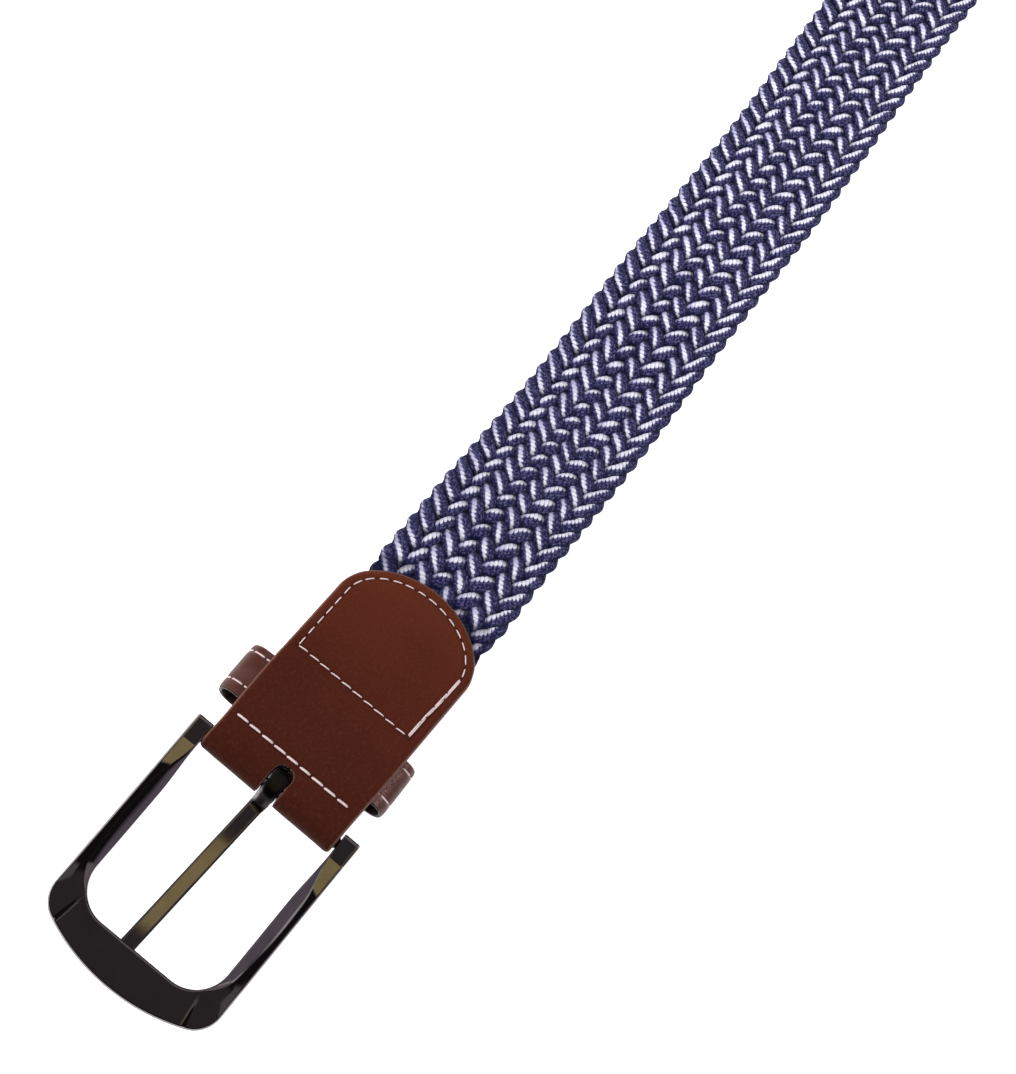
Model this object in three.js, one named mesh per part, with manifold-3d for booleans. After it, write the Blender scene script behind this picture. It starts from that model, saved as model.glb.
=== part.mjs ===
// Braided elastic belt with a leather buckle end, in millimetres, +Z up.
// The belt lies along X, buckle at -X, with its wearer's side up: the prong's tip and the
// keeper's loop are underneath. It is modelled from the heel bar, and moved at the end so
// that the origin is at the bottom centre of the whole belt.

import * as THREE from 'three';
import { mergeVertices } from 'three/addons/utils/BufferGeometryUtils.js';
import Module from 'manifold-3d';

const wasm = await Module();
wasm.setup();
const { degToRad, clamp, lerp } = THREE.MathUtils;

// Gap that neighbouring pieces keep, and the leather's thickness, thinned where it folds.
const CLEARANCE = 0.3;
const LEATHER = 1.3;
const LEATHER_FOLD = 1.0;

// Keeper, which stands on the table and lifts the tab.
const KEEPER_HEIGHT_INSIDE = 5.0;
const KEEPER_WIDTH = 11.4;
const KEEPER_HALF_SPAN = 21.8;
const KEEPER_CORNER = 3.8;
const KEEPER_X = 16.5;
const KEEPER_Y = 0.8;
const KEEPER_YAW = degToRad(1.9);

// Leather tab, folded round the heel bar.
const TAB_HALF_WIDTH = 17.5;
const TAB_HEEL_HALF_WIDTH = 17.1;
const TAB_HEEL_ROUND = 0.6;
const TAB_END = 55.1;
const TAB_ROUND_LENGTH = 12.2;
const TAB_EDGE_INSET = 2.4;
const END_ROUNDNESS = 1.9;
const SLOT_WIDTH = 4.6;
const SLOT_END = 5.4;
const SLOT_Y = -0.2;

// Braid: a flat band of woven cords with scalloped edges.
const BRAID_HALF_WIDTH = 15.85;
const BRAID_HALF_THICK = 1.6;
const BRAID_PRESSED_HALF = 1.25;
const BRAID_PITCH = 4.8;
const SCALLOP_DEPTH = 0.6;
const SCALLOP_START = 58.5;
const BRAID_START = 28.0;
const BRAID_Y = -0.12;
const DROP_START = 52.0;
const DROP_END = 120.0;
const BEND_START = 50.0;
const BEND_END = 285.0;
const BEND_SLOPE = 0.0282;
const BEND_CURVE = 0.00012;

// Plain leather tip on the free end.
const TIP_X = 289.0;
const TIP_LENGTH = 58.0;
const TIP_HALF_WIDTH = 16.7;
const TIP_ROUND_LENGTH = 17.0;
const TIP_WALL = 1.1;
const TIP_THICK = 4.6;
const TIP_THIN = 2.9;
const TIP_BRAID_LENGTH = 22.0;
const TIP_BRAID_HALF_THICK = 0.9;
const TIP_BRAID_HALF_WIDTH = 15.1;
const TIP_LIFT_START = 273.0;

// Cast buckle frame: a U with its arm ends at the heel bar.
const FRAME_HALF_THICK = 2.0;
const FRAME_HALF_WIDTH = 21.4;
const FRAME_FRONT = 50.5;
const FRAME_HEEL = 2.4;
const FRAME_FRONT_RADIUS = 45.5;
const FRAME_CORNER_RADIUS = 6.6;
const WINDOW_HALF_WIDTH = 17.0;
const WINDOW_HEEL_HALF_WIDTH = 17.45;
const WINDOW_FRONT = 41.6;
const WINDOW_CORNER_RADIUS = 8.0;
const CREASE_ANGLE = degToRad(37);
const FRAME_CHAMFER = 0.45;
const FRAME_Y = -0.35;
const FRAME_YAW = degToRad(0.9);

// Heel bar with thinner ends, and the prong that curls round it.
const BAR_RADIUS = 1.35;
const BAR_END_RADIUS = 1.1;
const BAR_HALF_LENGTH = 19.3;
const PRONG_WIDTH = 3.55;
const PRONG_CURL_WALL = 1.55;
const PRONG_REACH = 46.5;
const PRONG_UNDERSIDE = -1.95;
const PRONG_THICK = 1.5;
const PRONG_Y = 0.2;
const PRONG_YAW = degToRad(-2.85);
const GROOVE_MARGIN = 0.65;

const TUNNEL_RADIUS = BAR_RADIUS + CLEARANCE;
const FOLD_RADIUS = TUNNEL_RADIUS + LEATHER_FOLD;
const KEEPER_POCKET_HALF = LEATHER / 2 + CLEARANCE;
const KEEPER_ZONE_HALF = KEEPER_POCKET_HALF + LEATHER;
const BRAID_POCKET_HALF = BRAID_PRESSED_HALF + CLEARANCE;
const BAR_Z = LEATHER + KEEPER_HEIGHT_INSIDE + KEEPER_ZONE_HALF;

// The frame leans from the bar down to the table, where its front edge rests.
const restReach = FRAME_FRONT - FRAME_CHAMFER;
const FRAME_PITCH = Math.asin(BAR_Z / Math.hypot(restReach, FRAME_HALF_THICK))
  - Math.atan(FRAME_HALF_THICK / restReach);

const smooth = (t) => {
  const k = clamp(t, 0, 1);
  return k * k * (3 - 2 * k);
};

// Equal steps from start to end, both included.
const steps = (start, end, count) =>
  Array.from({ length: count + 1 }, (_, i) => start + ((end - start) * i) / count);

// Reads one column of a table whose rows are sorted by the column named at.
function column(table, name, at) {
  if (at <= table[0].at) return table[0][name];
  if (at >= table.at(-1).at) return table.at(-1)[name];
  const next = table.findIndex((row) => row.at > at);
  const [a, b] = [table[next - 1], table[next]];
  return lerp(a[name], b[name], smooth((at - a.at) / (b.at - a.at)));
}

// Half width near a rounded strap end, a superellipse of the given length.
function roundedEnd(x, end, length, half) {
  const t = clamp((x - end + length) / length, 0, 1);
  return half * (1 - t ** END_ROUNDNESS) ** (1 / END_ROUNDNESS);
}

// Stations that crowd towards a rounded end and stop just short of it.
const endStations = (end, length, count) =>
  steps(0, 88, count).map((angle) => end - length * (1 - Math.sin(degToRad(angle))));

function signedVolume(positions, faces) {
  const corner = (i) => new THREE.Vector3().fromArray(positions, 3 * faces[i]);
  let volume = 0;
  for (let i = 0; i < faces.length; i += 3) {
    volume += corner(i).dot(corner(i + 1).cross(corner(i + 2))) / 6;
  }
  return volume;
}

// A closed solid through rings of points that all go round the same way.
function loft(rings) {
  const n = rings[0].length;
  const positions = rings.flat().flatMap((point) => point.toArray());
  const faces = [];
  for (let i = 0; i < rings.length - 1; i++) {
    for (let j = 0; j < n; j++) {
      const a = i * n + j;
      const b = i * n + ((j + 1) % n);
      faces.push(a, b, a + n, b, b + n, a + n);
    }
  }
  const last = (rings.length - 1) * n;
  for (let j = 1; j < n - 1; j++) {
    faces.push(0, j + 1, j, last, last + j, last + j + 1);
  }
  if (signedVolume(positions, faces) < 0) faces.reverse();
  const geometry = new THREE.BufferGeometry();
  geometry.setAttribute('position', new THREE.Float32BufferAttribute(positions, 3));
  geometry.setIndex(faces);
  return geometry;
}

function toSolid(geometry) {
  const bare = geometry.clone();
  bare.deleteAttribute('normal');
  bare.deleteAttribute('uv');
  const merged = mergeVertices(bare, 1e-4);
  return new wasm.Manifold(new wasm.Mesh({
    numProp: 3,
    vertProperties: new Float32Array(merged.attributes.position.array),
    triVerts: new Uint32Array(merged.index.array),
  }));
}

function toGeometry(solid) {
  const mesh = solid.getMesh();
  const geometry = new THREE.BufferGeometry();
  geometry.setAttribute('position', new THREE.Float32BufferAttribute(mesh.vertProperties, 3));
  geometry.setIndex(Array.from(mesh.triVerts));
  return geometry;
}

const cut = (geometry, ...cutters) =>
  toGeometry(cutters.reduce((solid, cutter) => solid.subtract(toSolid(cutter)), toSolid(geometry)));

// A box given by its lowest and highest corners.
function boxBetween(low, high) {
  const size = high.map((value, i) => value - low[i]);
  const middle = high.map((value, i) => (value + low[i]) / 2);
  return new THREE.BoxGeometry(...size).translate(...middle);
}

// Moves a buckle piece, modelled level round the origin, to its place at the heel bar.
const placeOnBar = (geometry) =>
  geometry.rotateY(-FRAME_PITCH).rotateZ(FRAME_YAW).translate(0, FRAME_Y, BAR_Z);

// The tab's half thickness in its middle and at its side edges, at stations along X.
const TAB_TABLE = [
  { at: 0.0, middle: FOLD_RADIUS, edge: 2.45 },
  { at: 6.9, middle: 2.0, edge: 1.8 },
  { at: 9.6, middle: KEEPER_ZONE_HALF, edge: 2.0 },
  { at: 23.4, middle: KEEPER_ZONE_HALF, edge: 2.0 },
  { at: 26.5, middle: 2.1, edge: 1.9 },
  { at: 31.0, middle: 2.85, edge: 1.9 },
  { at: 50.0, middle: 2.85, edge: 2.1 },
  { at: TAB_END, middle: 2.7, edge: 2.5 },
];

// Cross section of the tab at x, with sloping shoulders along both sides.
function tabRing(x) {
  const fold = x < 0 ? Math.sqrt(Math.max(1 - (x / FOLD_RADIUS) ** 2, 0.01)) : 1;
  const middle = column(TAB_TABLE, 'middle', x) * fold;
  const edge = column(TAB_TABLE, 'edge', x) * fold;
  const heel = x < 0 ? TAB_HEEL_ROUND * (x / FOLD_RADIUS) ** 4 : 0;
  const side = lerp(TAB_HEEL_HALF_WIDTH, TAB_HALF_WIDTH, smooth((x - 3.2) / 6)) - heel;
  const half = Math.min(side, roundedEnd(x, TAB_END, TAB_ROUND_LENGTH, TAB_HALF_WIDTH));
  const inset = Math.min(TAB_EDGE_INSET, half / 2);
  const shoulder = lerp(edge, middle, 0.6);
  const left = [[half, edge], [half - inset * 0.3, shoulder], [half - inset, middle]];
  const upper = [...left, ...left.map(([y, z]) => [-y, z]).reverse()];
  const lower = upper.map(([y, z]) => [y, -z]).reverse();
  return [...upper, ...lower].map(([y, z]) => new THREE.Vector3(x, y, BAR_Z + z));
}

// Leather tab: two layers from one strip folded round the bar, joined behind the bar,
// behind the keeper and along the braid's sides.
function leatherTab() {
  const foldStations = steps(-90, 0, 6).map((angle) => FOLD_RADIUS * Math.sin(degToRad(angle)));
  const body = loft([
    ...foldStations, 1.8, 3.5, 5.4, 6.9, 8.3, 9.6, 23.4, 25.0, 26.5, 28.5, 31.0,
    ...endStations(TAB_END, TAB_ROUND_LENGTH, 10),
  ].map(tabRing));
  const tunnel = new THREE.CylinderGeometry(TUNNEL_RADIUS, TUNNEL_RADIUS, 50, 24)
    .rotateZ(FRAME_YAW).translate(0, FRAME_Y, BAR_Z);
  const slotRadius = SLOT_WIDTH / 2;
  const slotRound = new THREE.CylinderGeometry(slotRadius, slotRadius, 12, 24)
    .rotateX(Math.PI / 2).translate(SLOT_END - slotRadius, SLOT_Y, BAR_Z);
  const slot = boxBetween(
    [-10, SLOT_Y - slotRadius, BAR_Z - 6],
    [SLOT_END - slotRadius, SLOT_Y + slotRadius, BAR_Z + 6],
  );
  const keeperReach = KEEPER_WIDTH / 2 + TAB_HALF_WIDTH * Math.tan(KEEPER_YAW) + CLEARANCE;
  const keeperPocket = boxBetween(
    [KEEPER_X - keeperReach, -30, BAR_Z - KEEPER_POCKET_HALF],
    [KEEPER_X + keeperReach, 30, BAR_Z + KEEPER_POCKET_HALF],
  );
  const braidReach = BRAID_HALF_WIDTH + CLEARANCE;
  const braidPocket = boxBetween(
    [BRAID_START - CLEARANCE, BRAID_Y - braidReach, BAR_Z - BRAID_POCKET_HALF],
    [TAB_END + 5, BRAID_Y + braidReach, BAR_Z + BRAID_POCKET_HALF],
  );
  return cut(body, tunnel, slotRound, slot, keeperPocket, braidPocket);
}

function roundedRectangle(PathClass, halfWidth, low, high, radius) {
  const outline = new PathClass();
  const x = halfWidth - radius;
  outline.absarc(x, high - radius, radius, 0, Math.PI / 2);
  outline.absarc(-x, high - radius, radius, Math.PI / 2, Math.PI);
  outline.absarc(-x, low + radius, radius, Math.PI, 1.5 * Math.PI);
  outline.absarc(x, low + radius, radius, 1.5 * Math.PI, 2 * Math.PI);
  outline.closePath();
  return outline;
}

// Keeper loop: a band that runs between the tab's layers and hangs below them.
function keeperLoop() {
  const top = BAR_Z + LEATHER / 2;
  const outline = roundedRectangle(THREE.Shape, KEEPER_HALF_SPAN, 0, top, KEEPER_CORNER);
  outline.holes.push(roundedRectangle(
    THREE.Path, KEEPER_HALF_SPAN - LEATHER, LEATHER, top - LEATHER, KEEPER_CORNER - LEATHER,
  ));
  return new THREE.ExtrudeGeometry(outline, {
    depth: KEEPER_WIDTH, bevelEnabled: false, curveSegments: 7,
  }).translate(0, 0, -KEEPER_WIDTH / 2)
    .rotateX(Math.PI / 2).rotateZ(Math.PI / 2 + KEEPER_YAW)
    .translate(KEEPER_X, KEEPER_Y, 0);
}

// Middle line of the braid: straight in the tab, down to the table with a slight sideways
// bend, and straight again into the tip.
function braidPoint(x) {
  const bent = clamp(x, BEND_START, BEND_END) - BEND_START;
  const past = Math.max(x - BEND_END, 0);
  const endSlope = BEND_SLOPE + 2 * BEND_CURVE * (BEND_END - BEND_START);
  const y = BRAID_Y + BEND_SLOPE * bent + BEND_CURVE * bent ** 2 + endSlope * past;
  const drop = smooth((x - DROP_START) / (DROP_END - DROP_START));
  const lift = smooth((x - TIP_LIFT_START) / (TIP_X - TIP_LIFT_START));
  const lowZ = lerp(BRAID_HALF_THICK, TIP_THICK / 2, lift);
  return new THREE.Vector3(x, y, lerp(BAR_Z, lowZ, drop));
}

function braidHalfThick(x) {
  const open = lerp(BRAID_PRESSED_HALF, BRAID_HALF_THICK, smooth((x - TAB_END) / 3));
  return lerp(open, TIP_BRAID_HALF_THICK, smooth((x - TIP_X + 6) / 5));
}

// One rounded edge of the braid's cross section, square to its middle line.
function braidEdge(x, side, half) {
  const point = braidPoint(x);
  const tangent = braidPoint(x + 0.01).sub(point).normalize();
  const across = new THREE.Vector3(-tangent.y, tangent.x, 0).normalize();
  const up = tangent.clone().cross(across);
  const thick = braidHalfThick(x);
  return [
    [half - 2.2, -thick], [half - 0.6, -thick * 0.75], [half, 0],
    [half - 0.6, thick * 0.75], [half - 2.2, thick],
  ].map(([a, b]) => point.clone().addScaledVector(across, side * a).addScaledVector(up, b));
}

const braidRing = (x, half, stagger = 0) =>
  [...braidEdge(x, 1, half), ...braidEdge(x + stagger, -1, half).reverse()];

// Braid: one closed band. Each pitch has a wide crest and a notch on both edges, where a
// cord turns back, and the turns of one edge come halfway between those of the other.
function braidBand() {
  const straight = [BRAID_START, TAB_END - 1, TAB_END + 1];
  const stagger = BRAID_PITCH / 2;
  const pitches = Math.floor((TIP_X - 2 - stagger - SCALLOP_START) / BRAID_PITCH);
  const scallop = (turn, half) => braidRing(SCALLOP_START + turn * BRAID_PITCH, half, stagger);
  const scallops = Array.from({ length: pitches }, (_, i) => [
    scallop(i, BRAID_HALF_WIDTH - SCALLOP_DEPTH),
    scallop(i + 0.3, BRAID_HALF_WIDTH),
    scallop(i + 0.7, BRAID_HALF_WIDTH),
  ]).flat();
  return loft([
    ...straight.map((x) => braidRing(x, BRAID_HALF_WIDTH - 0.1)),
    ...scallops,
    ...[TIP_X - 1, TIP_X + TIP_BRAID_LENGTH].map((x) => braidRing(x, TIP_BRAID_HALF_WIDTH)),
  ]);
}

// The tip's thickness along its own length, over the braid's end and past it.
const TIP_TABLE = [
  { at: 0.0, top: TIP_THICK - 0.2 },
  { at: 1.5, top: TIP_THICK },
  { at: TIP_BRAID_LENGTH + 0.5, top: TIP_THICK },
  { at: TIP_BRAID_LENGTH + 6, top: TIP_THIN },
  { at: TIP_LENGTH - 4, top: TIP_THIN },
  { at: TIP_LENGTH, top: TIP_THIN - 0.4 },
];

function tipRing(x) {
  const top = column(TIP_TABLE, 'top', x);
  const half = roundedEnd(x, TIP_LENGTH, TIP_ROUND_LENGTH, TIP_HALF_WIDTH);
  const inset = Math.min(1.8, half / 2);
  const left = [[half - inset * 0.25, 0], [half, 0.4], [half, top - 0.9], [half - inset, top]];
  const ring = [...left, ...left.map(([y, z]) => [-y, z]).reverse()];
  return ring.map(([y, z]) => new THREE.Vector3(x, y, z));
}

// Leather tip: two layers over the braid's end, flat underneath.
function leatherTip() {
  const body = loft([
    0, 1.5, 11, TIP_BRAID_LENGTH + 0.5, ...steps(TIP_BRAID_LENGTH + 2, TIP_BRAID_LENGTH + 6, 3),
    ...endStations(TIP_LENGTH, TIP_ROUND_LENGTH, 10),
  ].map(tipRing));
  const reach = TIP_BRAID_HALF_WIDTH + CLEARANCE;
  const pocket = boxBetween(
    [-5, -reach, TIP_WALL],
    [TIP_BRAID_LENGTH + CLEARANCE, reach, TIP_THICK - TIP_WALL],
  );
  const start = braidPoint(TIP_X);
  const heading = braidPoint(TIP_X + 1).sub(start);
  return cut(body, pocket).rotateZ(Math.atan2(heading.y, heading.x)).translate(start.x, start.y, 0);
}

// Shape of the frame's upper face along one arm: how far the ridge lies from the window's
// edge, how far the bevel falls to that edge, and how far the face falls to the outer edge.
const ARM_TABLE = [
  { at: -FRAME_HEEL, ridge: 0.3, bevel: 0.25, outer: 0.05 },
  { at: 3.1, ridge: 0.3, bevel: 0.25, outer: 0.05 },
  { at: 6.0, ridge: 0.8, bevel: 0.5, outer: 0.3 },
  { at: 9.0, ridge: 1.7, bevel: 1.1, outer: 0.35 },
  { at: 12.0, ridge: 2.5, bevel: 1.6, outer: 0.4 },
  { at: 17.0, ridge: 2.85, bevel: 1.8, outer: 0.4 },
  { at: 24.0, ridge: 2.8, bevel: 1.8, outer: 0.4 },
  { at: 30.0, ridge: 2.3, bevel: 1.5, outer: 0.45 },
  { at: WINDOW_FRONT - WINDOW_CORNER_RADIUS, ridge: 1.9, bevel: 1.2, outer: 0.5 },
];
const CREASE_FACE = { ridge: 0.5, bevel: 0.35, outer: 0.7 };
const FRONT_FACE = { ridge: 0.5, bevel: 0.35, outer: 0.1 };

// Stations round one half of the frame, from the heel to the middle of the front: the
// window's edge, the outer edge, and the shape of the face between them.
function frameStations() {
  const windowX = WINDOW_FRONT - WINDOW_CORNER_RADIUS;
  const windowY = WINDOW_HALF_WIDTH - WINDOW_CORNER_RADIUS;
  const frontX = FRAME_FRONT - FRAME_FRONT_RADIUS;
  const cornerY = FRAME_HALF_WIDTH - FRAME_CORNER_RADIUS;
  const cornerTurn = Math.acos(cornerY / (FRAME_FRONT_RADIUS - FRAME_CORNER_RADIUS));
  const cornerX = frontX + (FRAME_FRONT_RADIUS - FRAME_CORNER_RADIUS) * Math.sin(cornerTurn);
  const frontTurn = Math.acos(windowY / FRAME_FRONT_RADIUS);
  const arc = (x, y, radius, turn) =>
    new THREE.Vector2(x + radius * Math.sin(turn), y + radius * Math.cos(turn));
  const windowArc = (turn) => arc(windowX, windowY, WINDOW_CORNER_RADIUS, turn);
  const frontArc = (turn) => arc(frontX, 0, FRAME_FRONT_RADIUS, turn);

  const arm = ARM_TABLE.map((face) => {
    const narrowing = smooth((face.at - 3.1) / 12);
    const across = lerp(WINDOW_HEEL_HALF_WIDTH, WINDOW_HALF_WIDTH, narrowing);
    return {
      inner: new THREE.Vector2(face.at, across),
      outer: new THREE.Vector2(face.at, FRAME_HALF_WIDTH),
      face,
    };
  });
  const outerCorner = (t) => (t < 0.4
    ? new THREE.Vector2(lerp(windowX, cornerX, t / 0.4), FRAME_HALF_WIDTH)
    : arc(cornerX, cornerY, FRAME_CORNER_RADIUS, cornerTurn * (t - 0.4) / 0.6));
  const corner = steps(0, 1, 5).slice(1).map((t) => ({
    inner: windowArc(t * CREASE_ANGLE),
    outer: outerCorner(t),
    face: {
      ridge: lerp(ARM_TABLE.at(-1).ridge, CREASE_FACE.ridge, t),
      bevel: lerp(ARM_TABLE.at(-1).bevel, CREASE_FACE.bevel, t),
      outer: lerp(ARM_TABLE.at(-1).outer, CREASE_FACE.outer, t),
    },
  }));
  const bend = [0.1, 0.4, 0.7, 1].map((t) => ({
    inner: windowArc(lerp(CREASE_ANGLE, Math.PI / 2, t)),
    outer: frontArc(lerp(cornerTurn, frontTurn, t)),
    face: FRONT_FACE,
  }));
  const front = [0.5, 1].map((t) => ({
    inner: new THREE.Vector2(WINDOW_FRONT, windowY * (1 - t)),
    outer: frontArc(lerp(frontTurn, Math.PI / 2, t)),
    face: FRONT_FACE,
  }));
  return [...arm, ...corner, ...bend, ...front];
}

// Cross section of the frame between its two edges, for the half on the given side.
function frameRing({ inner, outer, face }, side) {
  const width = inner.distanceTo(outer);
  const t = FRAME_HALF_THICK;
  const c = FRAME_CHAMFER;
  const section = [
    [0, t - face.bevel], [face.ridge, t], [width - c, t - face.outer], [width, t - face.outer - c],
    [width, -t + c], [width - c, -t], [c, -t], [0, -t + c],
  ];
  return section.map(([across, up]) => {
    const point = inner.clone().lerp(outer, across / width);
    return new THREE.Vector3(-point.x, side * point.y, up);
  });
}

// Buckle frame, with blind holes for the bar's ends and a groove for the prong's tip.
function buckleFrame() {
  const half = frameStations();
  const other = half.slice(0, -1).reverse();
  const body = loft([
    ...half.map((station) => frameRing(station, 1)),
    ...other.map((station) => frameRing(station, -1)),
  ]);
  const holeRadius = BAR_END_RADIUS + CLEARANCE;
  const holes = new THREE.CylinderGeometry(
    holeRadius, holeRadius, 2 * (BAR_HALF_LENGTH + CLEARANCE), 24,
  );
  const grooveTop = PRONG_UNDERSIDE + PRONG_THICK + CLEARANCE;
  const grooveHalf = PRONG_WIDTH / 2 + GROOVE_MARGIN;
  const groove = boxBetween(
    [-PRONG_REACH - GROOVE_MARGIN, -grooveHalf, -5],
    [-WINDOW_FRONT + 3, grooveHalf, grooveTop],
  ).rotateZ(PRONG_YAW).translate(0, PRONG_Y, 0);
  return placeOnBar(cut(body, holes, groove));
}

// Heel bar: fills the window between the arms, its thinner ends in their holes.
function heelBar() {
  const shoulder = WINDOW_HEEL_HALF_WIDTH - CLEARANCE;
  const profile = [
    [0, -BAR_HALF_LENGTH], [BAR_END_RADIUS, -BAR_HALF_LENGTH], [BAR_END_RADIUS, -shoulder],
    [BAR_RADIUS, -shoulder], [BAR_RADIUS, shoulder], [BAR_END_RADIUS, shoulder],
    [BAR_END_RADIUS, BAR_HALF_LENGTH], [0, BAR_HALF_LENGTH],
  ].map(([r, y]) => new THREE.Vector2(r, y));
  return placeOnBar(toGeometry(toSolid(new THREE.LatheGeometry(profile, 24))));
}

// Prong: a flat bar whose heel is curled into a ring, extruded from its side view.
function prong() {
  const curl = TUNNEL_RADIUS + PRONG_CURL_WALL;
  const top = PRONG_UNDERSIDE + PRONG_THICK;
  const topAngle = Math.PI - Math.asin(top / curl);
  const bottomAngle = Math.PI - Math.asin(PRONG_UNDERSIDE / curl);
  const tipRadius = PRONG_THICK * 0.4;
  const outline = new THREE.Shape();
  outline.absarc(0, 0, curl, bottomAngle, topAngle + 2 * Math.PI);
  const tipX = -PRONG_REACH + tipRadius;
  outline.absarc(tipX, top - tipRadius, tipRadius, Math.PI / 2, Math.PI);
  outline.absarc(tipX, PRONG_UNDERSIDE + tipRadius, tipRadius, Math.PI, 1.5 * Math.PI);
  outline.closePath();
  const eye = new THREE.Path();
  eye.absarc(0, 0, TUNNEL_RADIUS, 0, 2 * Math.PI);
  outline.holes.push(eye);
  const bar = new THREE.ExtrudeGeometry(outline, {
    depth: PRONG_WIDTH, bevelEnabled: false, curveSegments: 20,
  }).translate(0, 0, -PRONG_WIDTH / 2).rotateX(Math.PI / 2);
  return placeOnBar(bar.rotateZ(PRONG_YAW).translate(0, PRONG_Y, 0));
}

function namedMesh(name, geometry, color, roughness, metalness) {
  const mesh = new THREE.Mesh(geometry, new THREE.MeshStandardMaterial({ color, roughness, metalness }));
  mesh.name = name;
  return mesh;
}

const belt = new THREE.Group();
belt.add(
  namedMesh('buckle_frame', buckleFrame(), 0x2e2a2c, 0.18, 1),
  namedMesh('heel_bar', heelBar(), 0x3a3638, 0.25, 1),
  namedMesh('prong', prong(), 0x353032, 0.2, 1),
  namedMesh('leather_tab', leatherTab(), 0x4b3226, 0.6, 0),
  namedMesh('keeper_loop', keeperLoop(), 0x4a342c, 0.55, 0),
  namedMesh('braid_band', braidBand(), 0x3b3f57, 0.85, 0),
  namedMesh('leather_tip', leatherTip(), 0x4b3226, 0.6, 0),
);

const size = new THREE.Box3().setFromObject(belt);
const middle = size.getCenter(new THREE.Vector3());
belt.position.set(-middle.x, -middle.y, -size.min.z);

export default belt;
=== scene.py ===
# Braided elastic belt, lying with its wearer's side up: cords, leather, thread and buckle.
# Sizes are millimetres in the belt's own frame: the heel bar's middle is over the origin,
# the strap runs along +X and the table is at z = 0. They are the sizes of the CAD part.

import math
from functools import partialmethod

import bmesh
import bpy
import numpy as np
from mathutils import Matrix, Vector


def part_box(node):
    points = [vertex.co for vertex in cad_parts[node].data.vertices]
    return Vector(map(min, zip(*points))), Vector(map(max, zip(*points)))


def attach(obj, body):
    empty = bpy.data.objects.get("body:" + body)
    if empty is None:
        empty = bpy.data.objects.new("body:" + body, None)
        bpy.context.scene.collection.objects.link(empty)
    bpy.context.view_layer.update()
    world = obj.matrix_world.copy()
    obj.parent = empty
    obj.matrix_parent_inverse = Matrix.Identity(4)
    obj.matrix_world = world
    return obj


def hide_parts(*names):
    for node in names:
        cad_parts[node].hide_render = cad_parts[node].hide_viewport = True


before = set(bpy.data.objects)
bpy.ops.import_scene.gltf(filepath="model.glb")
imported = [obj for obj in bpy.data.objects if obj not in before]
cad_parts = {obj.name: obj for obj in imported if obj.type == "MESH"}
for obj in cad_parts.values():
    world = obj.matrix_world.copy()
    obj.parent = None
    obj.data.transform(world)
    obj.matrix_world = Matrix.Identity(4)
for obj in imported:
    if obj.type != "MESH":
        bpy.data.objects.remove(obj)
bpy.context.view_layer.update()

MM = 0.001
TURN = 2.0 * math.pi
QUARTER = math.pi / 2.0

# Leather.
LEATHER = 1.3
KEEPER_INSIDE = 5.0
KEEPER_WIDTH = 11.9
KEEPER_HALF_SPAN = 21.8
KEEPER_CORNER = 3.8
KEEPER_AT = (16.5, 0.8)
KEEPER_YAW = math.radians(1.9)
KEEPER_ROWS = (-KEEPER_WIDTH / 2 + 2.6, KEEPER_WIDTH / 2 - 1.8)
KEEPER_FURROW = 0.24
KEEPER_THREAD = 0.45
BAR_RADIUS = 1.35
BAR_END_RADIUS = 1.1
BAR_HALF_LENGTH = 19.3
TUNNEL_RADIUS = 1.65
FOLD_RADIUS = 2.65
KEEPER_POCKET = 0.95
BAR_Z = LEATHER + KEEPER_INSIDE + KEEPER_POCKET + LEATHER
TAB_HALF_WIDTH = 17.5
TAB_HEEL_HALF_WIDTH = 17.1
TAB_END = 55.1
TAB_ROUND = 12.2
END_ROUNDNESS = 1.9
SLOT_HALF = 2.22
SLOT_END = 5.4
SLOT_END_BELOW = 5.2
SLOT_Y = -0.2
BRAID_POCKET = 1.5
BRAID_POCKET_SIDE = 16.0
INSET_LIMIT = 9.0

# Braid.
BRAID_HALF_THICK = 1.6
BRAID_PRESSED_HALF = 1.25
BRAID_START = 28.6
BRAID_Y = -0.12
DROP_START = 52.0
DROP_END = 120.0
BEND_START = 50.0
BEND_END = 285.0
BEND_SLOPE = 0.0282
BEND_CURVE = 0.00012

# Tip.
TIP_X = 289.0
TIP_LENGTH = 58.0
TIP_HALF_WIDTH = 16.7
TIP_ROUND = 17.0
TIP_THICK = 4.6
TIP_THIN = 2.9
TIP_BRAID_LENGTH = 22.0
TIP_BRAID_HALF_THICK = 0.9
TIP_LIFT_START = 273.0

# Buckle.
FRAME_HALF_THICK = 2.0
FRAME_HALF_WIDTH = 21.4
FRAME_FRONT = 50.5
FRAME_HEEL = 2.4
FRAME_FRONT_RADIUS = 45.5
FRAME_CORNER_RADIUS = 6.6
WINDOW_HALF_WIDTH = 17.0
WINDOW_HEEL_HALF_WIDTH = 17.45
WINDOW_FRONT = 41.6
WINDOW_CORNER_RADIUS = 8.0
WINDOW_ARM_END = WINDOW_FRONT - WINDOW_CORNER_RADIUS
CREASE_ANGLE = math.radians(37.0)
FRAME_CHAMFER = 0.45
FRAME_PITCH = math.radians(7.54)
FRAME_YAW = math.radians(0.9)
FRAME_Y = -0.35
PRONG_WIDTH = 3.55
PRONG_REACH = 46.5
PRONG_UNDERSIDE = -1.95
PRONG_THICK = 1.5
PRONG_Y = 0.2
PRONG_YAW = math.radians(-2.85)
EYE_STRETCH = 1.70
GROOVE_MARGIN = 0.65

# The belt's own frame in the row's frame, from the heel bar's place.
bar_low, bar_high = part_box("heel_bar")
BELT_ORIGIN = (np.array(bar_low) + np.array(bar_high)) / (2.0 * MM) - (0.0, FRAME_Y, BAR_Z)


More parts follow.
